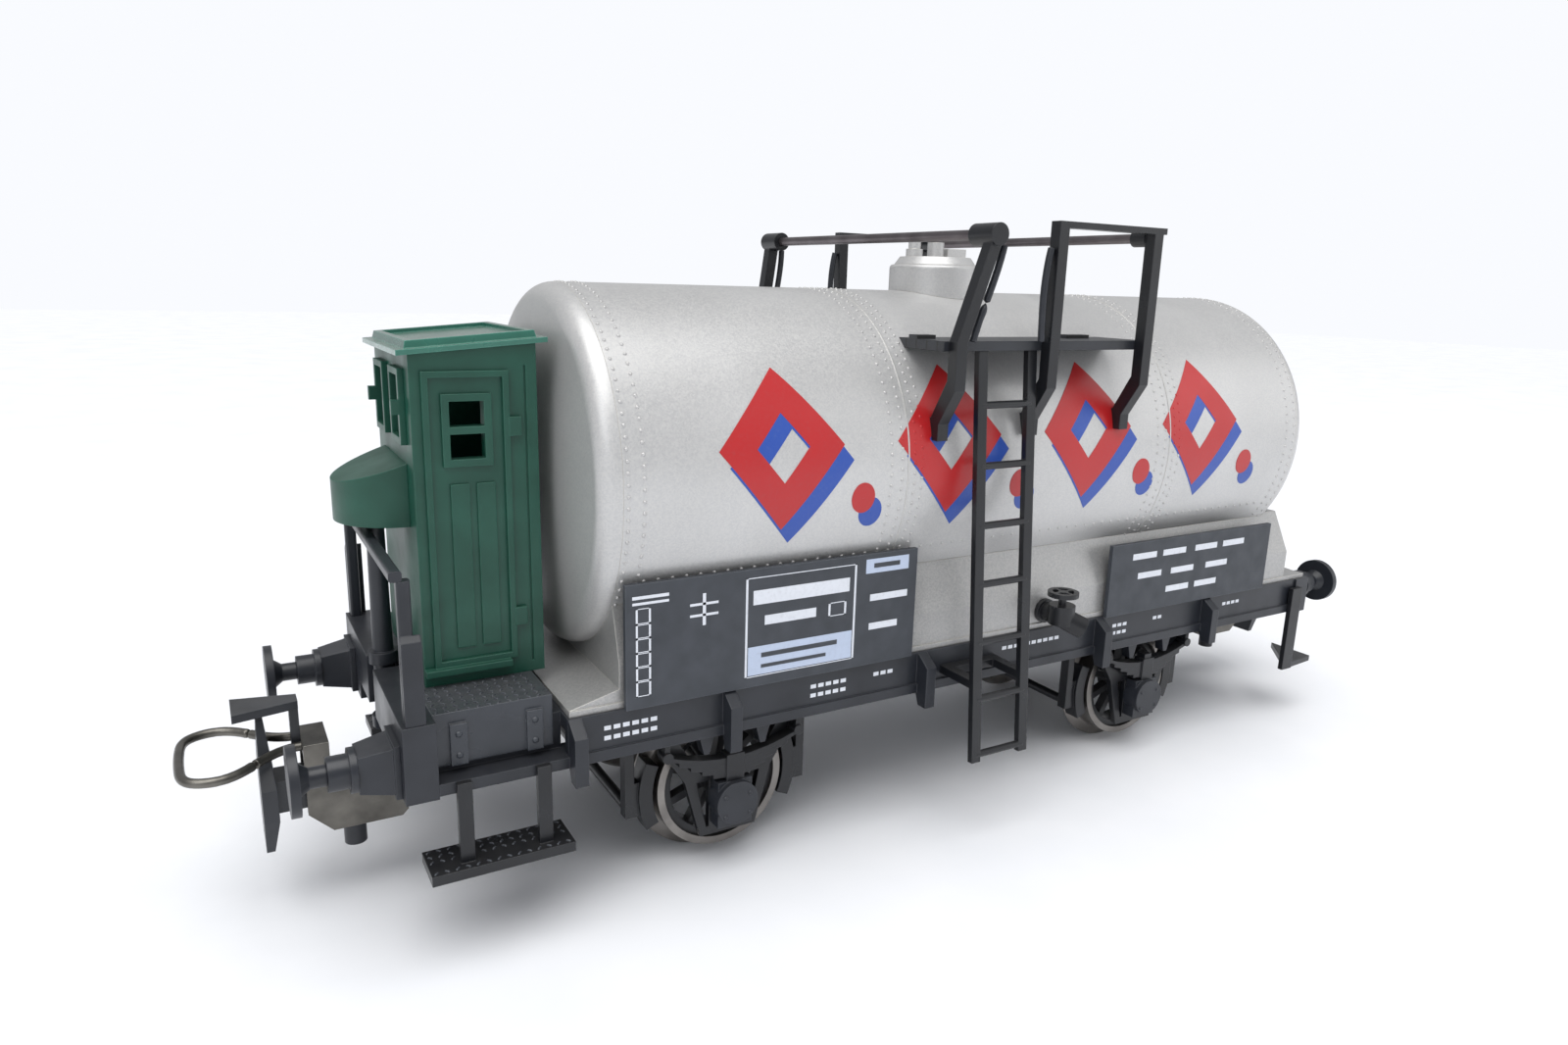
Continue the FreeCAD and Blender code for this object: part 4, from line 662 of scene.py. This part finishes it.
# %% places of the marks
MARK_CENTRE_Z = TANK_Z + 2.6 * MM
MARK_DOWN = TANK_R * math.acos((MARK_CENTRE_Z - TANK_Z) / TANK_R)
DIAMOND_XS = (-20.1, -4.8, 10.4, 25.0)
DISC_XS = (-13.1, 2.7, 17.4, 31.9)
DIAMOND_HALF = (5.2 * MM, 6.1 * MM)
DISC_HALF = (1.05 * MM, 1.2 * MM)
DISC_DROP = 4.2 * MM
HOLLOW = 0.42
PINHOLE = 0.02
SHADOW = (0.8 * MM, 1.2 * MM)


def mark_places(side):
    """Rows of centre x, centre s, half x, half s, power and hollow share, for one side."""
    rows = [(x * MM, MARK_DOWN, *DIAMOND_HALF, 1.0, HOLLOW) for x in DIAMOND_XS]
    rows += [(x * MM, MARK_DOWN + DISC_DROP, *DISC_HALF, 2.0, PINHOLE) for x in DISC_XS]
    return [(-side * x, side * s, *rest) for x, s, *rest in rows]


def slid(rows, side):
    """The same rows moved down and along, for the shadow."""
    return [(x - side * SHADOW[0], s + side * SHADOW[1], *rest) for x, s, *rest in rows]


def covered(points, rows):
    """True where a point on the barrel lies between a mark's hollow and its edge."""
    s = TANK_R * np.arctan2(points[:, 1], points[:, 2] - TANK_Z)
    hit = np.zeros(len(points), bool)
    for x0, s0, half_x, half_s, power, hollow in rows:
        share_x = np.abs((points[:, 0] - x0) / half_x) ** power
        share_s = np.abs((s - s0) / half_s) ** power
        share = (share_x + share_s) ** (1 / power)
        hit |= (share < 1) & (share > hollow)
    return hit


RED_ROWS = mark_places(-1) + mark_places(1)
BLUE_ROWS = slid(mark_places(-1), -1) + slid(mark_places(1), 1)
print("painted marks:", len(RED_ROWS))

# %% [markdown]
# ## Rivets
# The full-size tank was riveted from plates, and the model shows every head. A rivet head is a
# small cap with a short root below the surface, so that no gap shows. Each lap seam has a
# staggered double row on both sides, the ends have one too, and one row runs along each side.
# The rings stop a little below the cradle's seat, where the tank can't be seen.

# %% rivet rows on the tank
RIVET_R = 0.14 * MM
RIVET_H = 0.09 * MM
RIVET_PITCH = 0.80 * MM
LAP_SEAMS = (TANK_X0 + 0.325 * TANK_LENGTH, TANK_X0 + 0.739 * TANK_LENGTH)
LAP_ROWS = (-1.6 * MM, -0.6 * MM, 0.6 * MM, 1.3 * MM)
END_ROWS = (0.35 * MM, 1.5 * MM)
BELOW_SEAT = 1.2 * MM


def rivet_head(radius, height, segments=8):
    """A cap: profile from the crown over the shoulder to the rim, then a root below."""
    crown = [(0, height), (0.6 * radius, 0.82 * height), (radius, 0.2 * height)]
    profile = crown + [(radius, -height), (0, -height)]
    return turned(profile, segments)


def ring_rows(x, count, shift):
    """Points and outward normals of rivets round the barrel at x, at equal angles."""
    angle = (np.arange(count) + shift) * 2 * np.pi / count
    normal = np.stack([np.zeros(count), np.sin(angle), np.cos(angle)], 1)
    place = normal * TANK_R + [0, 0, TANK_Z]
    place[:, 0] = x
    return place, normal


around = int(2 * math.pi * TANK_R / RIVET_PITCH)
rows = []
for seam in LAP_SEAMS:
    rows += [ring_rows(seam + away, around, 0.5 * (i % 2)) for i, away in enumerate(LAP_ROWS)]
for edge, inward in ((TANK_X0, 1), (TANK_X1, -1)):
    rows += [ring_rows(edge + inward * away, around, 0.5 * i) for i, away in enumerate(END_ROWS)]
places = np.vstack([row[0] for row in rows])
normals = np.vstack([row[1] for row in rows])
shown = places[:, 2] > corners("tank_cradle")[1][2] - BELOW_SEAT
places, normals = places[shown], normals[shown]
print("rivets round the tank:", len(places))

# %% [markdown]
# The long row above the boards follows one height on the barrel, so its angle from the top
# comes from that height: the cosine of the angle is the height above the axis over the radius.

# %% long rivet rows
LONG_ROW_Z = corners("boards_near")[1][2] - 0.1 * MM
LONG_PITCH = 1.1 * MM
LONG_END = 2 * MM
row_angle = math.acos((LONG_ROW_Z - TANK_Z) / TANK_R)
row_x = np.arange(TANK_X0 + LONG_END, TANK_X1 - LONG_END, LONG_PITCH)
for side in (-1, 1):
    direction = np.array([0, side * math.sin(row_angle), math.cos(row_angle)])
    spots = np.tile(direction * TANK_R + [0, 0, TANK_Z], (len(row_x), 1))
    spots[:, 0] = row_x
    places = np.vstack([places, spots])
    normals = np.vstack([normals, np.tile(direction, (len(row_x), 1))])
print("rivets in the long rows:", 2 * len(row_x))

# %% [markdown]
# The paint went over the rivets too, so they are sorted by what they lie on: bare silver, a red
# mark, or its blue shadow. Each sort is one mesh in the paint that covers it.

# %% rivets by colour
on_red = covered(places, RED_ROWS)
on_blue = covered(places, BLUE_ROWS) & ~on_red
head = rivet_head(RIVET_R, RIVET_H)
SORTS = (
    ("tank_rivets", ~(on_red | on_blue), SILVER),
    ("tank_rivets_red", on_red, RED),
    ("tank_rivets_blue", on_blue, BLUE),
)
for name, chosen, material in SORTS:
    along = np.tile([1.0, 0, 0], (chosen.sum(), 1))
    rivets = piece(name, stamp(head, places[chosen], normals[chosen], along), material, smooth=True)
    print(name, int(chosen.sum()))

# %% [markdown]
# ## Lap seams
# Where two plates overlap, the edge of the outer one stands a little proud. Each seam is a
# narrow ridge round the barrel: a flat-topped profile carried round the axis, closed on itself.

# %% ridges at the seams
SEAM_HALF = 0.11 * MM
SEAM_PROUD = 0.04 * MM


def band(x, half, proud, segments=180):
    """A ring round the barrel: a four-corner profile with sloped edges at equal angles."""
    outer, inner = half, half - proud
    section = np.array([[x - outer, -proud], [x - inner, proud], [x + inner, proud], [x + outer, -proud]])
    angle = np.arange(segments) * 2 * np.pi / segments
    radius = TANK_R + section[:, 1]
    y = radius[:, None] * np.sin(angle)
    z = radius[:, None] * np.cos(angle) + TANK_Z
    x_all = np.repeat(section[:, :1], segments, axis=1)
    verts = np.stack([x_all, y, z], axis=-1).reshape(-1, 3)
    step = np.arange(segments)
    ahead = (step + 1) % segments
    faces = []
    for corner in range(4):
        here, there = corner * segments, ((corner + 1) % 4) * segments
        faces += np.stack([here + step, here + ahead, there + ahead, there + step], 1).tolist()
    return verts, faces


ridges = [band(seam, SEAM_HALF, SEAM_PROUD) for seam in LAP_SEAMS]
lap_ridges = piece("tank_lap_seams", joined(ridges), SILVER)
print("lap seams:", len(LAP_SEAMS))

# %% [markdown]
# ## Painted marks
# Each mark is a film wrapped round the barrel: the angle from the top is s over the radius.
# The red film lies a hair above the blue, so the shadow shows only where the red ends.

# %% marks wrapped round the barrel
RED_FILM = 0.03 * MM
BLUE_FILM = 0.018 * MM
FILM_RINGS = 12


def wrap(x, s, height):
    """Flat (x, s) to the barrel: angle is s over the radius, radius grows by height."""
    angle = s / TANK_R
    radius = TANK_R + height
    return np.stack([x, radius * np.sin(angle), radius * np.cos(angle) + TANK_Z], axis=-1)


def mark(row, film, segments=96):
    """Superellipse film: rings from hollow to 1 on top, then back below, closed at both edges."""
    x, s, half_x, half_s, power, hollow = row
    steps = np.linspace(hollow, 1, FILM_RINGS)
    share = np.concatenate([steps, steps[::-1]])
    height = np.concatenate([np.full(FILM_RINGS, film), np.full(FILM_RINGS, -film)])
    angle = np.arange(segments) * 2 * np.pi / segments
    c, d = np.cos(angle), np.sin(angle)
    reach = (np.abs(c) ** power + np.abs(d) ** power) ** (-1 / power)
    flat_x = x + half_x * share[:, None] * (reach * c)
    flat_s = s + half_s * share[:, None] * (reach * d)
    verts = wrap(flat_x, flat_s, np.repeat(height[:, None], segments, axis=1)).reshape(-1, 3)
    step = np.arange(segments)
    ahead = (step + 1) % segments
    faces = []
    for ring in range(2 * FILM_RINGS):
        here, there = ring * segments, ((ring + 1) % (2 * FILM_RINGS)) * segments
        faces += np.stack([here + step, there + step, there + ahead, here + ahead], 1).tolist()
    return verts, faces


red_piece = piece("tank_marks_red", joined([mark(row, RED_FILM) for row in RED_ROWS]), RED)
blue_piece = piece("tank_marks_blue", joined([mark(row, BLUE_FILM) for row in BLUE_ROWS]), BLUE)
print("mark faces:", len(red_piece.data.polygons) + len(blue_piece.data.polygons))

# %% [markdown]
# ## Printed boards
# The boards carry white printing: ruled frames, a ladder of boxes and solid bars. They are
# flat strips of film a few hundredths of a millimetre thick, all made from one rule that
# turns a list of rectangles into closed slabs.

# %% rectangles of ink
def slabs(rectangles, y, film, side):
    """Closed slabs from (x0, x1, z0, z1) rows: eight corners each, on both sides of y."""
    rect = np.asarray(rectangles, float)
    near, far = y + side * film, y - side * film
    count = len(rect)
    verts = np.zeros((count, 8, 3))
    verts[:, :, 0] = rect[:, [0, 1, 1, 0, 0, 1, 1, 0]]
    verts[:, :, 2] = rect[:, [2, 2, 3, 3, 2, 2, 3, 3]]
    verts[:, :4, 1] = near
    verts[:, 4:, 1] = far
    loops = np.array([[0, 1, 2, 3], [7, 6, 5, 4], [0, 4, 5, 1], [1, 5, 6, 2], [2, 6, 7, 3], [3, 7, 4, 0]])
    if side > 0:
        loops = loops[:, ::-1]
    faces = (loops[None] + 8 * np.arange(count)[:, None, None]).reshape(-1, 4).tolist()
    return verts.reshape(-1, 3), faces


def ruled(x0, x1, z0, z1, line):
    """The four strips of a rectangular outline: below, above, left and right."""
    flat = [(x0, x1, z0, z0 + line), (x0, x1, z1 - line, z1)]
    upright = [(x0, x0 + line, z0, z1), (x1 - line, x1, z0, z1)]
    return flat + upright


print("slab corners:", slabs([(0, 1, 0, 1)], 0.0, 0.1, -1)[0].shape)

# %% [markdown]
# One node holds both boards of a side. Their boxes are found by the widest gap along X, and a
# print is laid out in shares of its board, so it grows and shrinks with the board.

# %% finding the boards
HAIR = 1e-6


def split_boards(node):
    """The long board's box and the short board's box, split at the widest gap along x."""
    co = np.array([v.co for v in nodes[node].data.vertices])
    xs = np.unique(np.round(co[:, 0], 6))
    cut = xs[np.argmax(np.diff(xs)[1:-1]) + 1] + HAIR if len(xs) > 4 else xs[1] + HAIR
    return [(part.min(0), part.max(0)) for part in (co[co[:, 0] <= cut], co[co[:, 0] > cut])]


def scale_to(rectangles, low, high, side):
    """Shares of a board to metres; on the far side u runs the other way."""
    rect = np.asarray(rectangles, float)
    if side > 0:
        rect = np.stack([1 - rect[:, 1], 1 - rect[:, 0], rect[:, 2], rect[:, 3]], 1)
    size = np.array([high[0] - low[0], high[2] - low[2]])
    out = np.empty_like(rect)
    out[:, :2] = low[0] + rect[:, :2] * size[0]
    out[:, 2:] = low[2] + rect[:, 2:] * size[1]
    return out


print("boards on one side:", len(split_boards("boards_near")))

# %% [markdown]
# The long board shows a column of boxes, a cross with two bars, a framed panel with a pale foot,
# and a few lines at the right. Solid bars stand for every line of print.

# %% what is printed on the boards
FILM = 0.02 * MM
LINE = 0.16 * MM
BOXES, BOX_Z, BOX_STEP = 6, 0.10, 0.115
RULE = 0.007
BAR_LONG, BAR_HIGH = 0.14, 0.085
SHORT_LINES = ((0.76, (0.12, 0.30, 0.50, 0.68)), (0.48, (0.16, 0.36, 0.58)), (0.22, (0.34, 0.52)))


def long_board_print(low, high, side):
    """White, pale and dark rectangles; shares run from the left edge as one faces the board."""
    height = high[2] - low[2]
    column = [(0.02, 0.13, 0.88, 0.905), (0.02, 0.13, 0.835, 0.855)]
    for box in range(BOXES):
        z = BOX_Z + box * BOX_STEP
        column += ruled(0.030, 0.075, z, z + BOX_STEP + LINE / height, 0.006)
    cross = [(0.235, 0.245, 0.60, 0.86), (0.195, 0.285, 0.765, 0.785), (0.195, 0.285, 0.675, 0.695)]
    panel = ruled(0.375, 0.765, 0.085, 0.93, RULE) + ruled(0.665, 0.73, 0.50, 0.62, RULE)
    panel += [(0.40, 0.74, 0.70, 0.82), (0.44, 0.62, 0.52, 0.60)]
    right = [(0.82, 0.965, 0.58, 0.64), (0.82, 0.93, 0.32, 0.38)]
    pale = [(0.385, 0.755, 0.10, 0.345), (0.80, 0.965, 0.83, 0.955)]
    dark = [(0.43, 0.70, 0.245, 0.285), (0.43, 0.66, 0.155, 0.185), (0.83, 0.93, 0.875, 0.915)]
    return [scale_to(part, low, high, side) for part in (column + cross + panel + right, pale, dark)]


def short_board_print(low, high, side):
    """Three rows of solid bars, centred, as three short lines of print."""
    bars = [(u, u + BAR_LONG, z, z + BAR_HIGH) for z, starts in SHORT_LINES for u in starts]
    return scale_to(bars, low, high, side)


print("bars on the short board:", sum(len(starts) for z, starts in SHORT_LINES))

# %% [markdown]
# Both sides are printed alike, and each colour is one mesh. The dark print lies on the pale
# panels, so it starts one film further out.

# %% the printed films
white_film, pale_film, dark_film = [], [], []
for side, node in ((-1, "boards_near"), (1, "boards_far")):
    (long_low, long_high), (short_low, short_high) = split_boards(node)
    face = long_low[1] if side < 0 else long_high[1]
    white, pale, dark = long_board_print(long_low, long_high, side)
    bars = short_board_print(short_low, short_high, side)
    white_film += [slabs(white, face, FILM, side), slabs(bars, face, FILM, side)]
    pale_film.append(slabs(pale, face, FILM, side))
    dark_film.append(slabs(dark, face + side * FILM, FILM, side))
piece("board_print_white", joined(white_film), WHITE)
piece("board_print_pale", joined(pale_film), PALE)
piece("board_print_dark", joined(dark_film), BOARD)
print("long board mm:", np.round((long_high - long_low) / MM, 2))

# %% [markdown]
# ## Small marks on the solebar
# Between the stanchions, the frame carries a few short printed dashes. The solebar's outer
# face is the frame's web; the print sits on it.

# %% dashes on the frame
HEAD_HIGH = corners("headstock_tail")[1]
WEB_Y = HEAD_HIGH[1] - 0.2 * MM
DASH_TOP = HEAD_HIGH[2] / MM - 1.3
DASH_PITCH = 0.7
DASH_SIZE = (0.5, 0.32)
LINE_PITCH = 0.75
DASHES = (
    (-33.6, 4.2, 2), (-16.6, 4.0, 2), (-10.6, 2.4, 1), (3.2, 2.0, 1), (4.6, 5.6, 1), (17.0, 2.2, 2),
    (22.6, 1.4, 1), (33.0, 3.0, 1),
)
dash_film = []
for side in (-1, 1):
    strips = []
    for x, length, lines in DASHES:
        start = x if side < 0 else -x - length
        for line in range(lines):
            z = DASH_TOP - LINE_PITCH * line
            for cell in range(int(length / DASH_PITCH)):
                left = start + DASH_PITCH * cell
                strips.append([left, left + DASH_SIZE[0], z, z + DASH_SIZE[1]])
    dash_film.append(slabs(np.array(strips) * MM, side * WEB_Y, FILM, side))
piece("solebar_dashes", joined(dash_film), WHITE)
print("dashes:", sum(len(film[1]) // 6 for film in dash_film))

# %% [markdown]
# ## Tread plate
# The cab platform and the step boards are chequered so that boots don't slip. The raised bars
# alternate between two diagonals. Each bar is a low ridge with six faces, stamped on a grid;
# where row plus column is odd it turns by a right angle.

# %% chequer bars
BAR_SHARE, WIDE_SHARE = 0.74, 0.30
BAR_PROUD = 0.08 * MM


def chequer_bar(length, width, height):
    """A ridge: a rectangle at the bottom rising to a short line along its middle."""
    a, b, c = length / 2, width / 2, length / 4
    verts = np.array([
        [-a, -b, -height], [a, -b, -height], [a, b, -height], [-a, b, -height],
        [-c, -b / 3, height], [c, -b / 3, height], [c, b / 3, height], [-c, b / 3, height],
    ])
    faces = [[3, 2, 1, 0], [4, 5, 6, 7], [0, 1, 5, 4], [1, 2, 6, 5], [2, 3, 7, 6], [3, 0, 4, 7]]
    return verts, faces


def chequer(x0, x1, y0, y1, z, pitch):
    """Bars on a grid inside the rectangle, on alternate diagonals."""
    gx = np.arange(x0 + pitch / 2, x1 - pitch / 3, pitch)
    gy = np.arange(y0 + pitch / 2, y1 - pitch / 3, pitch)
    col, row = np.meshgrid(np.arange(len(gx)), np.arange(len(gy)))
    place = np.stack([gx[col], gy[row], np.full(col.shape, z)], -1).reshape(-1, 3)
    turn = np.where((col + row) % 2 == 0, 1.0, -1.0).reshape(-1)
    along = np.stack([np.ones_like(turn), turn, np.zeros_like(turn)], 1)
    up = np.tile([0.0, 0.0, 1.0], (len(place), 1))
    return stamp(chequer_bar(BAR_SHARE * pitch, WIDE_SHARE * pitch, BAR_PROUD), place, up, along)


print("faces of one bar:", len(chequer_bar(1, 1, 1)[1]))

# %% [markdown]
# The bars go on the platform beside the cab, and on each step board either side of its hangers.

# %% tread plate on the platform and steps
plates = []
PITCH = 0.68 * MM
PLATE_EDGE = 0.2 * MM
STEP_THICK = 0.7 * MM
HANGER_OUT = 13.5 * MM
HANGER_IN = 12.8 * MM
for side in (-1, 1):
    inner, outer = sorted((side * cab_high[1], side * deck_high[1]))
    strip = (inner + PLATE_EDGE, outer - PLATE_EDGE)
    plates.append(chequer(deck_low[0], deck_high[0], *strip, deck_high[2], PITCH))
for node in ("cab_step_near", "cab_step_far"):
    low, high = corners(node)
    top = low[2] + STEP_THICK
    reach = sorted((low[1], high[1]), key=abs)
    strips = sorted((math.copysign(HANGER_OUT, reach[1]), reach[1]))
    inner = sorted((reach[0], math.copysign(HANGER_IN, reach[1])))
    plates.append(chequer(low[0], high[0], strips[0], strips[1], top, PITCH))
    plates.append(chequer(low[0], high[0], inner[0], inner[1], top, PITCH))
tread_plate = piece("tread_plate", joined(plates), DECK)
print("chequer bars:", sum(len(p[1]) // 6 for p in plates))

# %% [markdown]
# ## Bolts and small rivets
# The straps on the platform's sides and the axlebox covers show their fixings. They are the
# same small cap as the tank's rivets, stamped on faces that look outwards.

# %% fixings on flat faces
def fixings(name, spots, side_axis, radius, height, material, segments=6, body="wagon"):
    """Caps at (x, y, z) spots; side_axis is the outward direction of each."""
    spots = np.asarray(spots, float)
    outward = np.asarray(side_axis, float)
    along = np.tile([0.0, 0.0, 1.0], (len(spots), 1))
    caps = stamp(rivet_head(radius, height, segments), spots, outward, along)
    return piece(name, caps, material, body, smooth=False)


STRAP_XS, STRAP_ZS = (-43.3, -38.2), (14.0, 15.5)
STRAP_RIVET = (0.24 * MM, 0.14 * MM)
strap_spots, strap_out = [], []
for side in (-1, 1):
    for x in STRAP_XS:
        for z in STRAP_ZS:
            strap_spots.append((x * MM, side * deck_high[1], z * MM))
            strap_out.append((0, side, 0))
fixings("strap_rivets", strap_spots, strap_out, *STRAP_RIVET, DECK, 8)
print("strap rivets:", len(strap_spots))

# %% [markdown]
# Each axlebox cover has four bolts, placed from the axle's centre, one cover at each wheel.

# %% bolts on the axlebox covers
BOLTS = ((-1.05, -1.3), (1.05, -1.3), (-1.05, 0.35), (1.05, 0.35))
BOLT = (0.2 * MM, 0.12 * MM)
COVER_DROP = 0.2
cover_front = corners("axleboxes_tail")[1][1]
cover_spots, cover_out = [], []
for end in (-1, 1):
    for side in (-1, 1):
        for dx, dz in BOLTS:
            height = WHEEL_Z + (dz - COVER_DROP) * MM
            cover_spots.append((end * WHEEL_X + dx * MM, side * cover_front, height))
            cover_out.append((0, side, 0))
fixings("axlebox_bolts", cover_spots, cover_out, *BOLT, BLACK)
print("axlebox bolts:", len(cover_spots))

# %% [markdown]
# ## Stage, light and camera
# The wagon stands on pale card inside a white tent. The card is a flat grid at the level of the
# flange tips, marked as stage because it isn't part of the wagon.

# %% the floor
LINES = 9


def sweep(size, material):
    """A flat square grid: every pair of two equal rows of numbers, at height 0."""
    side = np.linspace(-size, size, LINES)
    x, y = np.meshgrid(side, side)
    verts = np.stack([x, y, np.zeros_like(x)], -1).reshape(-1, 3)
    index = np.arange(LINES * LINES).reshape(LINES, LINES)
    faces = np.stack([index[:-1, :-1], index[:-1, 1:], index[1:, 1:], index[1:, :-1]], -1).reshape(-1, 4)
    mesh = bpy.data.meshes.new("floor")
    mesh.from_pydata(verts.tolist(), [], faces.tolist())
    mesh.materials.append(material)
    made = bpy.data.objects.new("floor", mesh)
    bpy.context.scene.collection.objects.link(made)
    return made


def paper(name):
    """Pale card with a faint tone and grain."""
    work = Finish(name)
    skin = work.group(GRAIN, Scale=60.0)
    work.feed("Base Color", work.layer(skin.outputs["Tone"], linear(238, 240, 244), linear(246, 247, 250)))
    work.feed("Roughness", work.spread(skin.outputs["Height"], 0.7, 0.9))
    work.bump(skin.outputs["Height"], 0.02 * MM, 0.15)
    return work.material


floor = sweep(1.2, paper("pale_card"))
floor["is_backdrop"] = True
print("floor faces:", len(floor.data.polygons))

# %% [markdown]
# A tent lights its subject from everywhere. A very broad sun overhead gives the soft shadow under
# the wagon, a square light at each side shapes the round tank, and the bright world fills the
# rest. The world is dimmer as a light than as a backdrop, or it would wash the colours out.

# %% the lights
def soft_light(name, place, aim, size, power, tint):
    """A square area light at place, turned to aim."""
    data = bpy.data.lights.new(name, "AREA")
    data.shape = "SQUARE"
    data.size = size
    data.energy = power
    data.color = tint
    lamp = bpy.data.objects.new(name, data)
    bpy.context.scene.collection.objects.link(lamp)
    direction = Vector(aim) - Vector(place)
    lamp.location = place
    lamp.rotation_euler = direction.to_track_quat("-Z", "Y").to_euler()
    return lamp


CENTRE = (0.0, 0.0, 0.02)
SUN_POWER, SUN_SPREAD = 2.35, math.radians(60)
SUN_WAY = (0.18, 0.22, -0.95)
overhead = bpy.data.objects.new("tent_top", bpy.data.lights.new("tent_top", "SUN"))
bpy.context.scene.collection.objects.link(overhead)
overhead.data.energy = SUN_POWER
overhead.data.angle = SUN_SPREAD
overhead.data.color = (1.0, 0.995, 0.985)
overhead.rotation_euler = Vector(SUN_WAY).to_track_quat("-Z", "Y").to_euler()
soft_light("window_left", (-0.36, -0.24, 0.26), CENTRE, 0.22, 0.26, (0.97, 0.98, 1.0))
soft_light("card_right", (0.35, -0.25, 0.18), CENTRE, 0.30, 0.27, (1.0, 1.0, 1.0))

# %% the world round it
SKY_LIGHT, SKY_SEEN = 0.45, 1.0
world = bpy.data.worlds.new("white_tent")
bpy.context.scene.world = world
world.use_nodes = True
sky = world.node_tree.nodes["Background"]
sky.inputs["Color"].default_value = (0.95, 0.965, 1.0, 1.0)
rays = world.node_tree.nodes.new("ShaderNodeLightPath")
level_of_sky = world.node_tree.nodes.new("ShaderNodeMapRange")
level_of_sky.inputs["To Min"].default_value = SKY_LIGHT
level_of_sky.inputs["To Max"].default_value = SKY_SEEN
world.node_tree.links.new(rays.outputs["Is Camera Ray"], level_of_sky.inputs["Value"])
world.node_tree.links.new(level_of_sky.outputs["Result"], sky.inputs["Strength"])
bpy.context.scene.view_settings.view_transform = "Standard"
print("world nodes:", len(world.node_tree.nodes))

# %% [markdown]
# The camera is low and close, with a wide lens, so the near end looms. Its place, three turns and
# lens are named once. The three turns make three unit vectors, right, above and forward. A
# matrix whose columns are right, above and the reverse of forward turns the camera.

# %% the camera
CAMERA_PLACE = (-56.287 * MM, -75.427 * MM, 44.902 * MM)
CAMERA_YAW = math.radians(30.43)
CAMERA_PITCH = math.radians(-13.24)
CAMERA_ROLL = math.radians(1.618)
CAMERA_LENS = 23.178

forward = Vector((
    math.sin(CAMERA_YAW) * math.cos(CAMERA_PITCH),
    math.cos(CAMERA_YAW) * math.cos(CAMERA_PITCH),
    math.sin(CAMERA_PITCH),
))
level = Vector((math.cos(CAMERA_YAW), -math.sin(CAMERA_YAW), 0.0))
upright = level.cross(forward)
right = level * math.cos(CAMERA_ROLL) + upright * math.sin(CAMERA_ROLL)
above = upright * math.cos(CAMERA_ROLL) - level * math.sin(CAMERA_ROLL)
lens = bpy.data.cameras.new("table_camera")
lens.lens = CAMERA_LENS
lens.sensor_width = 36.0
lens.clip_start = 0.001
camera = bpy.data.objects.new("table_camera", lens)
bpy.context.scene.collection.objects.link(camera)
turn = Matrix((right, above, -forward)).transposed().to_4x4()
camera.matrix_world = Matrix.Translation(CAMERA_PLACE) @ turn
bpy.context.scene.camera = camera
print("camera at mm:", [round(v / MM, 1) for v in camera.location])

# %% how far the scene reaches past the CAD's box, and finish
seen_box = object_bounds()
grown = [max(abs(s - c) for s, c in zip(a, b)) for a, b in zip(seen_box, cad_box)]
print("grown by mm:", [round(g / MM, 3) for g in grown])
